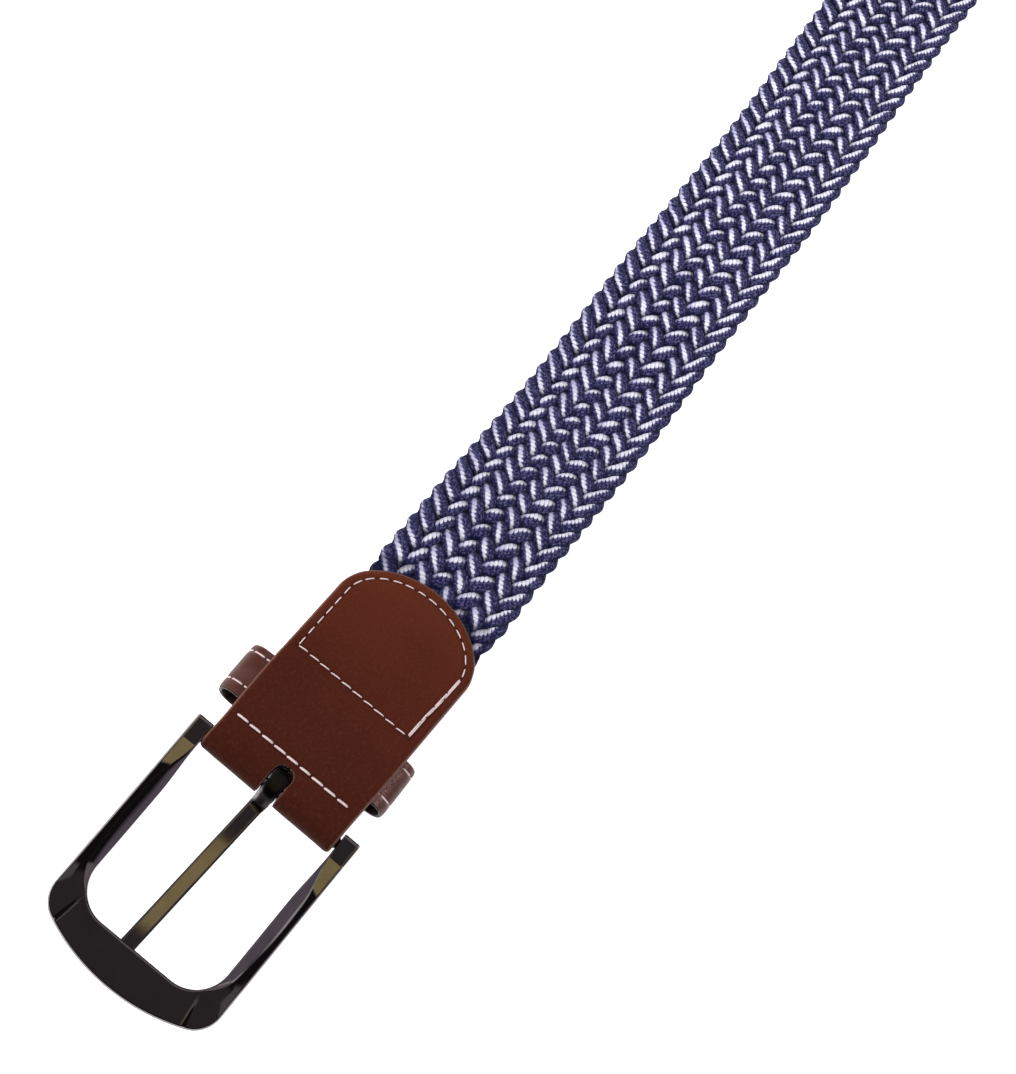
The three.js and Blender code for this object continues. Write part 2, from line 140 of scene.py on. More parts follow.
def smooth(t):
    """Three t squared less two t cubed, with t held between 0 and 1."""
    k = np.clip(t, 0, 1)
    return k * k * (3 - 2 * k)


def between(start, end, t):
    """Start plus t parts of the way to end."""
    return start + (end - start) * t


def bump(t):
    """A bell, e to the power of minus t squared."""
    return np.exp(-np.square(t))


def beside(*columns):
    """Numbers and arrays side by side, as the last axis of one array."""
    return np.stack(np.broadcast_arrays(*columns), axis=-1)


def unit(vectors):
    """Vectors divided by their lengths."""
    return vectors / np.linalg.norm(vectors, axis=-1, keepdims=True)


def turned(x, y, angle):
    """Two coordinates after a turn from the first towards the second."""
    c, s = math.cos(angle), math.sin(angle)
    return c * x - s * y, s * x + c * y


def squared_up(values, power):
    """Signed power, which squares up a circle's sine and cosine."""
    return np.sign(values) * np.abs(values) ** power


def steps_between(x, at):
    """The step of a rising list that a value lies in, its width, and the share of it gone."""
    step = np.clip(np.searchsorted(x, at, side="right") - 1, 0, len(x) - 2)
    width = x[step + 1] - x[step]
    return step, width, (at - x[step]) / width


def eased(rows, column, at):
    """A column of a sorted table, eased with smooth from one row to the next."""
    x, y = np.array(rows, float)[:, [0, column]].T
    step, _, t = steps_between(x, at)
    return between(y[step], y[step + 1], smooth(t))


def curved(rows, column, at):
    """A smooth curve through a table's rows: cubic pieces with the rows' mean slopes."""
    x, y = np.array(rows, float)[:, [0, column]].T
    slope = np.gradient(y, x)
    step, width, t = steps_between(x, at)
    t = np.clip(t, 0, 1)
    rise = y[step + 1] - y[step]
    start, end = slope[step] * width, slope[step + 1] * width
    return (y[step] + t * start + t ** 2 * (3 * rise - 2 * start - end)
            + t ** 3 * (start + end - 2 * rise))


def lengths(path):
    """Length along a polyline at each of its points."""
    return np.append(0, np.cumsum(np.linalg.norm(np.diff(path, axis=0), axis=1)))


def sampled(table, run, at):
    """A table's columns at some lengths, straight from one row to the next."""
    return beside(*(np.interp(at, run, column) for column in table.T))


def sheet(points, round_rows=0, round_columns=0, **layers):
    """A mesh part over a grid of points: a table of their places and of the values that they
    carry, and quads between neighbouring rows and columns, which may close up."""
    grid = beside(*np.moveaxis(points, -1, 0), *layers.values())
    number = np.arange(grid[..., 0].size).reshape(grid.shape[:2])
    number = np.pad(number, ((0, round_rows), (0, round_columns)), "wrap")
    quads = beside(number[:-1, :-1], number[:-1, 1:], number[1:, 1:], number[1:, :-1])
    return {"names": tuple(layers), "table": grid.reshape(-1, grid.shape[-1]),
            "quads": quads.reshape(-1, 4), "triangles": np.empty((0, 3), int)}


def tube(points, **layers):
    """Closed skin over rings of points, with a flat cap on each end: a fan of triangles
    round the ring's middle."""
    part = sheet(points, round_columns=1, **layers)
    table, ring = part["table"], np.arange(points.shape[1])
    rings = (ring[::-1], len(table) - len(ring) + ring)
    part["table"] = np.vstack([table, *(table[edge].mean(axis=0) for edge in rings)])
    part["triangles"] = np.vstack([beside(len(table) + i, edge, np.roll(edge, -1))
                                   for i, edge in enumerate(rings)])
    return part


def joined(parts):
    """Several mesh parts numbered on as one."""
    offsets = np.cumsum([0] + [len(part["table"]) for part in parts[:-1]])
    faces = {kind: np.vstack([part[kind] + n for part, n in zip(parts, offsets)])
             for kind in ("quads", "triangles")}
    return {**parts[0], **faces, "table": np.vstack([part["table"] for part in parts])}


def weld(mesh, distance):
    """Joins points that lie together, and turns every face outwards."""
    work = bmesh.new()
    work.from_mesh(mesh)
    bmesh.ops.remove_doubles(work, verts=work.verts, dist=distance)
    bmesh.ops.recalc_face_normals(work, faces=work.faces)
    work.to_mesh(mesh)
    work.free()


def put_in_scene(name, data):
    """A new object of the scene."""
    made = bpy.data.objects.new(name, data)
    bpy.context.scene.collection.objects.link(made)
    return made


def make_piece(name, part, material, body, merge=1e-4):
    """Puts a mesh part into the scene in metres, smooth shaded, riding on its body."""
    mesh = bpy.data.meshes.new(name)
    faces = part["quads"].tolist() + part["triangles"].tolist()
    mesh.from_pydata((part["table"][:, :3] + BELT_ORIGIN) * MM, [], faces, shade_flat=False)
    for key, value in zip(part["names"], part["table"].T[3:]):
        layer = mesh.attributes.new(key, "FLOAT", "POINT")
        layer.data.foreach_set("value", value.astype(np.float32))
    if merge:
        weld(mesh, merge * MM)
    mesh.validate()
    mesh.materials.append(material)
    piece = put_in_scene(name, mesh)
    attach(piece, body)
    return piece


# Materials.

class Value:
    """A node's output. Arithmetic on it adds nodes to the same tree."""

    def __init__(self, socket):
        self.socket = socket

    def reckon(self, operation, other=0):
        return node(self, "ShaderNodeMath", {0: self, 1: other}, operation=operation)

    __add__ = partialmethod(reckon, "ADD")
    __sub__ = partialmethod(reckon, "SUBTRACT")
    __mul__ = partialmethod(reckon, "MULTIPLY")

    def ease(self, low, high, low_out=0, high_out=1):
        """The value eased from one range to another."""
        inputs = {0: self, 1: low, 2: high, 3: low_out, 4: high_out}
        return node(self, "ShaderNodeMapRange", inputs, interpolation_type="SMOOTHSTEP")

    def part(self, index):
        """One coordinate of a place."""
        return node(self, "ShaderNodeSeparateXYZ", {0: self}, index)

    def noise(self, scale, detail=2, roughness=0.5):
        """Cloudy noise of so many cells to the metre."""
        inputs = {"Vector": self, "Scale": scale, "Detail": detail, "Roughness": roughness}
        return node(self, "ShaderNodeTexNoise", inputs, "Fac")

    def relief(self, distance, strength=1):
        """A surface raised by the value times a distance in millimetres."""
        inputs = {"Height": self, "Distance": distance * MM, "Strength": strength}
        return node(self, "ShaderNodeBump", inputs, "Normal")


def feed(made, inputs):
    """Links values to a node's inputs, or sets the inputs to numbers and colours."""
    for key, value in inputs.items():
        if isinstance(value, Value):
            made.id_data.links.new(value.socket, made.inputs[key])
        else:
            made.inputs[key].default_value = value


def node(tree, kind, inputs=None, out=0, **settings):
    """Adds a node to a tree or to a value's tree, sets it up and gives an output."""
    tree = tree.socket.id_data if isinstance(tree, Value) else tree
    made = tree.nodes.new(kind)
    for key, value in settings.items():
        setattr(made, key, value)
    feed(made, inputs or {})
    return Value(made.outputs[out])


def dyed(colour, *layers):
    """A colour with others laid over it in turn, each by its share."""
    for share, over in layers:
        colour = node(share, "ShaderNodeMix", {0: share, 6: colour, 7: over}, 2,
                      data_type="RGBA")
    return colour


def carried(tree, *names):
    """Values that the mesh's points carry."""
    return [node(tree, "ShaderNodeAttribute", out="Fac", attribute_name=name)
            for name in names]


def new_material(name, **sockets):
    """A material, its node tree, its shader and the place of each of its points."""
    made = bpy.data.materials.new(name)
    made.use_nodes = True
    tree = made.node_tree
    shader = tree.nodes["Principled BSDF"]
    feed(shader, {key.replace("_", " "): value for key, value in sockets.items()})
    return made, tree, shader, node(tree, "ShaderNodeTexCoord", out="Object")


NAVY = (0.0155, 0.015, 0.061, 1)
NAVY_PALE = (0.14, 0.134, 0.29, 1)
HALO = (0.2, 0.188, 0.37, 1)
# dark navy for painted shade in the braid's gaps and towards the tab
NAVY_SHADE = (0.004, 0.004, 0.022, 1)
# pale purple: the yarn's own tint, and painted shade on the white stripe
LILAC_TINT_AND_SHADE = (0.5, 0.475, 0.7, 1)
LILAC_WHITE = (0.88, 0.865, 0.97, 1)
LEATHER_BROWN = (0.052, 0.0105, 0.0058, 1)
LEATHER_RED = (0.078, 0.0155, 0.0078, 1)
LEATHER_DARK = (0.036, 0.007, 0.0038, 1)
LEATHER_END = (0.11, 0.025, 0.0115, 1)
EDGE_PINK = (0.15, 0.07, 0.055, 1)
KEEPER_BROWN = (0.084, 0.033, 0.027, 1)
KEEPER_RED = (0.066, 0.0205, 0.015, 1)
TORN_PINK = (0.3, 0.165, 0.165, 1)
# near-black painted shade, also used on the keeper's cut edge towards the buckle
SHADE_AND_CUT_EDGE_DARK = (0.012, 0.006, 0.005, 1)
THREAD_WHITE = (0.66, 0.53, 0.52, 1)
THREAD_GREY = (0.5, 0.4, 0.42, 1)
GUNMETAL = (0.23, 0.21, 0.22, 1)
GUNMETAL_DULL = (0.19, 0.175, 0.18, 1)
# near-black painted shade for the prong's foot and curl
PAINTED_SHADE_BLACK = (0.012, 0.01, 0.01, 1)
WHITE = (1, 1, 1, 1)
# Length of one knitted loop, and where along the belt the painted shade, darkest at the tab, has
# faded out.
LOOP = 0.98
TAB_SHADE_END = 215.0


def cord_cloth():
    """Knitted sheath: navy with a white stripe whose edges step once for each loop. A loop's
    height is a half circle along the cord, which slants across it. Painted shade darkens the
    gaps between loops and the low places between cords, turns the stripe pale purple between
    loops and where its cord begins or dives under another, and darkens the braid towards the
    tab."""
    made, tree, shader, place = new_material(
        "navy and white knitted cord", Roughness=0.8, Sheen_Weight=0.04,
        Sheen_Roughness=0.5, Specular_IOR_Level=0.06)
    along, across, off, stripe, stripe_shade, teeth, crest = carried(
        tree, "along", "across", "off_stripe", "stripe", "stripe_shade", "teeth", "crest")
    share = (across * -0.5 + along).reckon("PINGPONG", LOOP / 2).reckon("DIVIDE", LOOP / 2)
    rest = share * -1 + 1
    loop = (rest * rest * -1 + 1).reckon("SQRT")
    fleck, cloud = place.noise(1900), place.noise(260, 1)
    bite = (loop * -1 + 0.72) * off.ease(-0.25, 0.25, 0.68, 0.26)
    edge = (off.reckon("ABSOLUTE") - stripe * 1.02 + bite * teeth
            + (fleck - 0.5) * 0.65 + (cloud - 0.5) * 0.4)
    wale = (along * 0.16 + across).reckon("PINGPONG", 0.33)
    yarn = wale.ease(0.02, 0.3, 0.45, 1) * fleck.ease(0.42, 0.64)
    # painted shade: the navy darkens in the gaps between knitted loops
    navy = dyed(NAVY, (yarn, NAVY_PALE), (edge.ease(0.45, 0, 0, 0.7), HALO),
                (loop.ease(0.9, 0.5, 0, 0.35), NAVY_SHADE))
    # the white stripe: painted shade turns it pale purple between loops and where its cord
    # begins or dives under; the flecks and clouds are the yarn's own tint
    pale = dyed(LILAC_WHITE, ((cloud + stripe_shade).ease(0.6, 1.3), LILAC_TINT_AND_SHADE),
                (loop.ease(0.7, 0.25, 0, 0.7), LILAC_TINT_AND_SHADE), (fleck.ease(0.5, 0.72, 0, 0.6), LILAC_TINT_AND_SHADE))
    start, end = ((BELT_ORIGIN[0] + x) * MM for x in (TAB_END, TAB_SHADE_END))
    # painted shade: darker low between the cords, and over the whole braid towards the tab
    colour = dyed(navy, (edge.ease(-0.12, 0.12, 1, 0), pale),
                  (crest.ease(0.48, 0.96, 0.95, 0), NAVY_SHADE),
                  (place.part(0).ease(start, end) * -0.24 + 0.24, NAVY_SHADE))
    feed(shader, {"Base Color": colour, "Normal": (fleck * 0.6 + loop).relief(0.16)})
    return made


def strap_leather():
    """Red-brown pebbled leather, darker towards the buckle, with pale rims along the edges that
    are partly painted highlight, painted shade in the furrows under the stitches, and near-black
    painted shade on the inner skins by the slot.
    """
    made, tree, shader, place = new_material("red brown leather", Specular_IOR_Level=0.06)
    rim, far, seam, shade = carried(tree, "rim", "far", "seam", "shade")
    cloud, pore = place.noise(60, 3), place.noise(1400, 4, 0.65)
    pebble = node(tree, "ShaderNodeTexVoronoi", {"Vector": place, "Scale": 2100},
                  "Distance", feature="DISTANCE_TO_EDGE")
    body = dyed(
        LEATHER_BROWN, (far.ease(6, 46), LEATHER_RED), (far.ease(6, -3), LEATHER_DARK),
        (far.ease(42, 54, 0, 0.7), LEATHER_END),
        (cloud.ease(0.35, 0.75, 0, 0.35), LEATHER_DARK),
        (pore.ease(0.45, 0.8, 0, 0.14), EDGE_PINK),
        # painted shade in the furrows under the stitches
        (seam.ease(0.1, 1, 0, 0.6), LEATHER_DARK),
        # pale rim along the edges, partly painted highlight on their rounding
        ((pore * 0.5 + rim).ease(0.55, 1.25), EDGE_PINK),
        # painted shade: the leaves' inner skins and the lower leaf's slot edge go near black
        (shade.ease(0.2, 0.8, 0, 0.96), SHADE_AND_CUT_EDGE_DARK))
    grain = pore * 0.6 + pebble.ease(0, 0.25)
    feed(shader, {"Base Color": body, "Roughness": pore.ease(0.3, 0.8, 0.42, 0.62),
                  "Normal": grain.relief(0.03, 0.9)})
    return made


def keeper_leather():
    """Greyer, shinier leather with rough torn patches on its cut edges, pale rims that are
    partly painted highlight, and near-black painted shade on its inner face, with its cut edge
    towards the buckle darkened the same way.
    """
    made, tree, shader, place = new_material("keeper leather", Specular_IOR_Level=0.22)
    rim, raw, entry = carried(tree, "rim", "raw", "entry")
    cloud, pore = place.noise(220, 3), place.noise(1500, 4, 0.65)
    flake = place.noise(2300, 3, 0.7)
    body = dyed(KEEPER_BROWN, (cloud.ease(0.35, 0.65), KEEPER_RED),
                # pale rim along the edges, partly painted highlight on their rounding
                ((pore * 0.5 + rim).ease(0.7, 1.2), EDGE_PINK),
                (entry * flake.ease(0.38, 0.56), TORN_PINK),
                # painted shade: the band's inner face goes near black, and its cut edge towards
                # the buckle is darkened too
                (raw.ease(0.2, 0.8, 0, 0.92), SHADE_AND_CUT_EDGE_DARK))
    feed(shader, {"Base Color": body, "Roughness": pore.ease(0.3, 0.8, 0.36, 0.6),
                  "Normal": pore.relief(0.04, 0.8)})
    return made


def sewing_thread():
    """Off-white twisted thread."""
    made, tree, shader, place = new_material(
        "white sewing thread", Roughness=0.7, Specular_IOR_Level=0.3, Sheen_Weight=0.1)
    twist = carried(tree, "along")[0].reckon("PINGPONG", 0.22)
    grey = place.noise(900).ease(0.4, 0.75, 0, 0.6)
    feed(shader, {"Base Color": dyed(THREAD_WHITE, (grey, THREAD_GREY)),
                  "Normal": twist.relief(0.12, 0.8)})
    return made


def polished_gunmetal():
    """Dark plated metal with faint polishing lines and smudges, turned near black and rougher by
    painted shade where a piece carries it.
    """
    made, tree, shader, place = new_material("polished gunmetal", Metallic=1)
    tarnish = carried(tree, "tarnish")[0]
    smudge = place.noise(160, 4, 0.6)
    line = node(tree, "ShaderNodeMapping", {"Vector": place, "Scale": (0.08, 1, 1)})
    # painted shade: dark reflections painted in as a near-black colour where a piece carries
    # them
    tone = dyed(GUNMETAL, (smudge.ease(0.35, 0.8), GUNMETAL_DULL), (tarnish, PAINTED_SHADE_BLACK))
    dull = tarnish * 0.32 + smudge.ease(0.3, 0.8, 0.02, 0.05)
    feed(shader, {"Base Color": tone, "Roughness": dull,
                  "Normal": line.noise(2600).relief(0.001, 0.5)})
    return made


CORD = cord_cloth()
STRAP_LEATHER = strap_leather()
KEEPER_LEATHER = keeper_leather()
THREAD = sewing_thread()
METAL = polished_gunmetal()

# Braid: seventeen cords in eight ribs, over two and under two. Each cord goes across to the
# far edge and back while the braid moves on by one pitch for each cord.
CORDS = 17
CORD_SIDES = 14
CORD_STEP = 0.42
PITCH = 4.85
LAY_LENGTH = CORDS * PITCH
LAY_TURN = 75.3
FAR_TURN = 41.6
EDGE_Y = 14.55
FAR_EDGE_Y = -14.8
RIBS = (10.43, 7.53, 3.2, 0.15, -3.6, -7.53, -11.4)
LEAN = 0.00107
LEAN_FROM = 75.0
# Way along and place across.
LAY = (
    (0, EDGE_Y), (1.6, 14.1), (5.5, 10.43), (10.8, 7.53), (15.2, 3.2), (19.1, 0.15),
    (24.6, -3.6), (29.3, -7.53), (34.9, -11.4), (40, -14.35), (FAR_TURN, FAR_EDGE_Y),
    (43.2, -14.35), (47.1, -11.4), (51.8, -7.53), (56.3, -3.6), (60.7, 0.15), (66.1, 3.2),
    (71.4, 7.53), (77.4, 10.43), (81.4, 14.1), (LAY_LENGTH, EDGE_Y),
)
# Way along, the stripe's turn from the cord's top in degrees, half its width, and its share of
# painted shade, which turns it pale purple where the cord begins or dives under another.
STRIPE = (
    (0, 74, 0, 0.5), (2, 50, -0.3, 0.5), (5.2, 34, -0.3, 0.9), (6, 34, 0.2, 0.9),
    (7.4, 32, 0.5, 0.3), (9.4, 30, 0.64, 0), (11.6, 28, 0.62, 0), (13, 34, -0.3, 0.9),
    (15, 34, -0.3, 0.9), (15.8, 34, 0.2, 0.9), (17, 32, 0.52, 0.2), (18.4, 30, 0.66, 0),
    (20.2, 28, 0.64, 0), (22, 34, -0.3, 0.9), (24.4, 34, -0.3, 0.9), (25.2, 34, 0.24, 0.9),
    (26.6, 32, 0.58, 0.2), (28.2, 30, 0.72, 0), (30.4, 28, 0.68, 0), (32.5, 40, -0.3, 0.9),
    (34.6, 42, -0.2, 0.7), (35.4, 40, 0.28, 0.6), (37, 38, 0.54, 0.1), (39.6, 36, 0.54, 0),
    (41, 36, 0.36, 0.2), (42.2, 36, -0.2, 0.5), (46, 24, -0.3, 0), (47.2, 24, 0.2, 0),
    (49, 20, 0.42, 0.1), (50.7, 16, 0.38, 0.7), (51.9, 14, 0.22, 1), (52.6, 14, -0.3, 1),
    (55.2, 24, -0.3, 0), (56.3, 24, 0.2, 0), (58, 20, 0.4, 0.1), (59.6, 16, 0.38, 0.7),
    (60.8, 14, 0.22, 1), (61.5, 14, -0.3, 1), (64.9, 24, -0.3, 0), (66.1, 24, 0.22, 0),
    (68, 20, 0.44, 0.1), (70, 16, 0.42, 0.7), (71.4, 14, 0.24, 1), (72.2, 14, -0.3, 1),
    (75.9, 22, -0.3, 0), (77.3, 22, 0.22, 0), (79, 24, 0.4, 0.2), (80.6, 32, 0.38, 0.6),
    (81.8, 46, 0.24, 0.9), (LAY_LENGTH, 66, 0, 0.9),
)


def braid_line(x):
    """Middle line: straight in the tab, then a parabola sideways while it comes down to
    the table by smooth, and a straight run up into the tip."""
    bent = np.clip(x, BEND_START, BEND_END) - BEND_START
    past = np.maximum(x - BEND_END, 0)
    end_slope = BEND_SLOPE + 2 * BEND_CURVE * (BEND_END - BEND_START)
    y = BRAID_Y + BEND_SLOPE * bent + BEND_CURVE * bent ** 2 + end_slope * past
    drop = smooth((x - DROP_START) / (DROP_END - DROP_START))
    lift = smooth((x - TIP_LIFT_START) / (TIP_X - TIP_LIFT_START))
    low = between(BRAID_HALF_THICK, TIP_THICK / 2, lift)
    return beside(x, y, between(BAR_Z, low, drop))


def braid_half_thick(x):
    """Half the braid's thickness, pressed in the tab and more so in the tip."""
    free = between(BRAID_PRESSED_HALF, BRAID_HALF_THICK, smooth((x - TAB_END) / 3))
    return between(free, TIP_BRAID_HALF_THICK, smooth((x - TIP_X + 6) / 5))


def cord_places(way):
    """Across place, the stripe's turn, half width and share of painted shade, and how far the
    cord is on top, at a way along its lay: 1 in the ribs where this leg is over and -1 where it
    is under, with a quarter sine each way between them, fading to 0 at the edges."""
    way = np.mod(way, LAY_LENGTH)
    rows = np.array(LAY, float)
    shift = np.array([LAY_LENGTH, 0])
    across = curved(np.vstack([rows[-4:-1] - shift, rows, rows[1:4] + shift]), 1, way)
    start, *columns = np.array(STRIPE, float).T
    turn, half, stripe_shade = (np.interp(way, start, column) for column in columns)
    ribs = np.array(RIBS)
    rib = (across[..., None] < ribs).sum(axis=-1)
    near = np.abs(across[..., None] - ribs).min(axis=-1)
    sign = np.where((rib % 2 == 0) == (way > FAR_TURN), 1, -1)
    over = sign * np.sin(np.minimum(near / 1.45, 1) * QUARTER)
    from_turn = np.abs(beside(way, way - FAR_TURN, way - LAY_LENGTH)).min(axis=-1)
    return across, np.radians(turn), half, stripe_shade, over * np.tanh(from_turn / 1.3)


def cords(numbers):
    """Skins of some cords. Each is a flattened ring, a squared-up ellipse, carried along a
    zigzag path that weaves over and under. Its points carry the way along, the place across,
    the distance off the stripe's middle, half the stripe's width, and the height as a share
    of the braid's."""
    x_start, x_end = BRAID_START, TIP_X + TIP_BRAID_LENGTH
    way = np.arange(x_start, x_end, CORD_STEP)[:, None]
    number = np.asarray(numbers)[:, None, None]
    across, turn, half, stripe_shade, over = cord_places(way - LAY_TURN + number * PITCH)
    turn = turn + math.radians(9) * np.sin(way * 0.83 + number * 2.4)
    slack = 1.2 * bump((way - 82) / 16) - 1.9 * bump((way - 128) / 20)
    x = way - LEAN * across * (way - LEAN_FROM) + slack * (1 - 0.55 * (across / 13) ** 2)
    x = np.clip(x, x_start, x_end)
    held = 1 - smooth((x - TAB_END + 3) / 4) + smooth((x - TIP_X + 7) / 5)
    across = across * (1 - 0.04 * held)
    sway = 0.25 * np.cos((x - 158) * TURN / 90) * smooth((x - 60) / 30)
    middle = braid_line(x)
    ahead = unit(braid_line(x + 0.01) - middle)
    side = unit(beside(-ahead[..., 1], ahead[..., 0], 0))
    up = np.cross(ahead, side)
    thick = braid_half_thick(x) / BRAID_HALF_THICK
    half_high = 0.86 * thick
    lift = (BRAID_HALF_THICK * thick - half_high) * over
    path = middle + side * (across + sway)[..., None] + up * lift[..., None]
    moves = np.gradient(path, axis=1)
    heading = unit(moves)
    left = unit(np.cross(up, heading))
    top = np.cross(heading, left)
    slope = np.abs((heading * side).sum(axis=-1))
    wide = np.clip(0.5 * PITCH * slope * 1.28, 1.5, 1.95)
    angle = np.linspace(0, TURN, CORD_SIDES, endpoint=False)
    ring_side = squared_up(np.sin(angle), 0.9) * wide
    ring_top = squared_up(np.cos(angle), 0.9) * half_high
    skin = path + left * ring_side[..., None] + top * ring_top[..., None]
    height = np.abs(lift + ring_top * top[..., 2]) / BRAID_HALF_THICK
    layers = {
        "along": np.cumsum(np.linalg.norm(moves, axis=-1), axis=1) + 0.37 * number,
        "across": ring_side,
        "off_stripe": wide * np.sin(angle - turn),
        "stripe": half * (1 + 0.16 * np.sin(way * 1.31 + number * 4.1)),
        "stripe_shade": stripe_shade,
        "teeth": np.clip(turn / math.radians(34), 0.35, 1),
        # height share, which sets the painted shade low between the cords
        "crest": np.maximum(height, smooth((np.abs(across) - 13.2) / 1.4)),
    }
    return joined([tube(skin[i], **{key: value[i] for key, value in layers.items()})
                   for i in range(len(numbers))])


def make_braid():
    """The cords in four pieces, each under the limit of triangles."""
    for place, group in zip("abcd", np.array_split(np.arange(CORDS), 4)):
        piece = make_piece(f"braid_cords_{place}", cords(group), CORD, "strap", merge=0)
        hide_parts("braid_band")


# Leather tab. Way along, the outer leaf's height over the seam in the middle, and at the edge.
TAB_TABLE = (
    (0, FOLD_RADIUS, 2.45), (6.9, 2, 1.8), (9.6, 2.25, 2), (23.4, 2.25, 2),
    (26.5, 2.1, 1.9), (31, 2.85, 1.9), (50, 2.85, 2.1), (TAB_END, 2.7, 2.5),
)
STITCH_INSET = 2.3
FIRST_ROW_X = 6.9
SECOND_ROW_X = 26.5


def past_heel(x):
    """0 at the fold, eased to 1 where the tab has its full width."""
    return smooth((x - 1) / 19)


def tab_side(x):
    """Half width of the tab: eased out past the heel."""
    return between(TAB_HEEL_HALF_WIDTH, TAB_HALF_WIDTH + 0.1, past_heel(x))


def tip_side(x):
    """Half width of the tip."""
    return TIP_HALF_WIDTH + 0 * x


def strap_outline(straight, end, side, round_count):
    """Outline of a strap with a rounded end, from its +Y side round to its -Y side, and the
    middle line's point that each outline point looks to. The end is a superellipse."""
    turn_x, back = straight[-1], straight[::-1]
    angle = np.linspace(0, math.pi, round_count + 2)[1:-1]
    power = 2 / END_ROUNDNESS
    bent_x = turn_x + (end - turn_x) * squared_up(np.sin(angle), power)
    bent_y = side(end) * squared_up(np.cos(angle), power)
    outline = beside(np.concatenate([straight, bent_x, back]),
                     np.concatenate([side(straight), bent_y, -side(back)]))
    spine = np.concatenate([straight, np.full(round_count, turn_x), back])
    return outline, beside(spine, 0)


def leaf_grid(outline, spine, count):
    """Places on a grid from the middle line to the outline, how far they are in from the
    outline and out from the middle, and the shares of the way out, which crowd at both
    ends by a cosine."""
    t = np.linspace(0, 1, count)
    shares = 0.35 * t + 0.65 * (0.5 - 0.5 * np.cos(math.pi * t))
    grid = between(spine[:, None], outline[:, None], shares[:, None])
    reach = np.linalg.norm(outline - spine, axis=-1)[:, None]
    inset = np.minimum((1 - shares) * reach, INSET_LIMIT)
    return grid[..., 0], grid[..., 1], inset, shares * reach, shares


def edge_share(distance, radius):
    """How much of its thickness a leaf keeps at a distance from its edge: a superellipse."""
    t = np.clip(1 - distance / radius, 0, 1)
    return np.clip(1 - t ** 2.6, 0, 1) ** (1 / 2.6)


def inside_rim(inset):
    """0 in the leather's outer edge, eased to 1 where the rows of stitches may lie."""
    return smooth((inset - 1.6) / 0.6)


def sewn_edge(x, inset):
    """A bell along the seam that follows the tab's edge past the second row."""
    return bump((inset - STITCH_INSET) / 0.42) * smooth((x - SECOND_ROW_X + 1) / 1.5)


def tab_top(x, inset):
    """Height of the outer leaf over the seam: the table's middle, shouldered down to its
    edge value, with a bead along the edge and a furrow under the stitches."""
    middle, edge = eased(TAB_TABLE, 1, x), eased(TAB_TABLE, 2, x)
    shoulder = 1 - np.clip(1 - inset / 2.4, 0, 1) ** 2.56
    rows = bump((x - FIRST_ROW_X) / 0.6) + bump((x - SECOND_ROW_X) / 0.5)
    return (between(edge, middle, shoulder) - 0.24 * sewn_edge(x, inset)
            + 0.1 * bump((inset - 1) / 0.55) - 0.26 * rows * inside_rim(inset))


def tab_inside(x, y):
    """Half height of the space between the leaves: the bar's tunnel, the keeper's pocket
    and the braid's pocket."""
    tunnel = np.where(x < 1.1, np.sqrt(np.clip(TUNNEL_RADIUS ** 2 - x ** 2, 0, None)),
                      1.23 * smooth((3.2 - x) / 2.1))
    keeper = KEEPER_POCKET * smooth((x - 9.4) / 0.9) * smooth((23.9 - x) / 0.9)
    across = 1 - smooth((np.abs(y) - BRAID_POCKET_SIDE) / 1)
    braid = BRAID_POCKET * smooth((x - 27.2) / 1.2) * across
    return np.maximum(np.maximum(tunnel, keeper), np.maximum(braid, 0.02))


def tab_leaf(slot_end):
    """Places, middle and half thickness of a leaf on a grid from the slot or the middle line
    to the outline, the shares of the way out, the values it carries, and its shades by the
    slot on the inner and the outer skin."""
    neck = slot_end - SLOT_HALF
    straight = np.hstack([
        np.linspace(0, neck, 10)[:-1], neck + SLOT_HALF * np.sin(np.linspace(0, QUARTER, 16)),
        np.linspace(slot_end, TAB_END - TAB_ROUND, 92)[1:]])
    outline, spine = strap_outline(straight, TAB_END, tab_side, 74)
    x_out = outline[:, 0]
    past_neck = np.maximum(x_out - neck, 0)
    slot_half = np.sqrt(np.maximum(SLOT_HALF ** 2 - past_neck ** 2, 0))
    wider = 1 + 0.018 * (1 - past_heel(x_out))
    outline[:, 1] *= np.where(outline[:, 1] < 0, wider, 1)
    by_side = np.abs(outline[:, 1]) > 15
    side = np.where(np.arange(len(x_out)) < len(x_out) / 2, 1, -1)
    spine[:, 1] = SLOT_Y + side * np.where((x_out <= slot_end) & by_side, slot_half, 0)
    x, y, inset, out, shares = leaf_grid(outline, spine, 40)
    from_slot = np.where(((slot_half > 0) & by_side)[:, None], out, INSET_LIMIT)
    keep = edge_share(inset, 0.55) * edge_share(from_slot, 0.45)
    outer, inner = tab_top(x, inset), tab_inside(x, y)
    rows = bump((x - FIRST_ROW_X) / 0.55) + bump((x - SECOND_ROW_X) / 0.45)
    layers = {"rim": bump(inset / 0.6) + bump(from_slot / 0.35), "far": x,
              "seam": np.maximum(rows * inside_rim(inset), sewn_edge(x, inset))}
    # painted shade by the slot: inner skins, and the lower leaf's slot edge
    shades = (smooth((8.5 - x) / 2) * smooth((5 - np.abs(y - SLOT_Y)) / 1.5),
              smooth((1 - from_slot) / 0.4))
    return x, y, (outer + inner) / 2, (outer - inner) / 2 * keep, shares, layers, shades


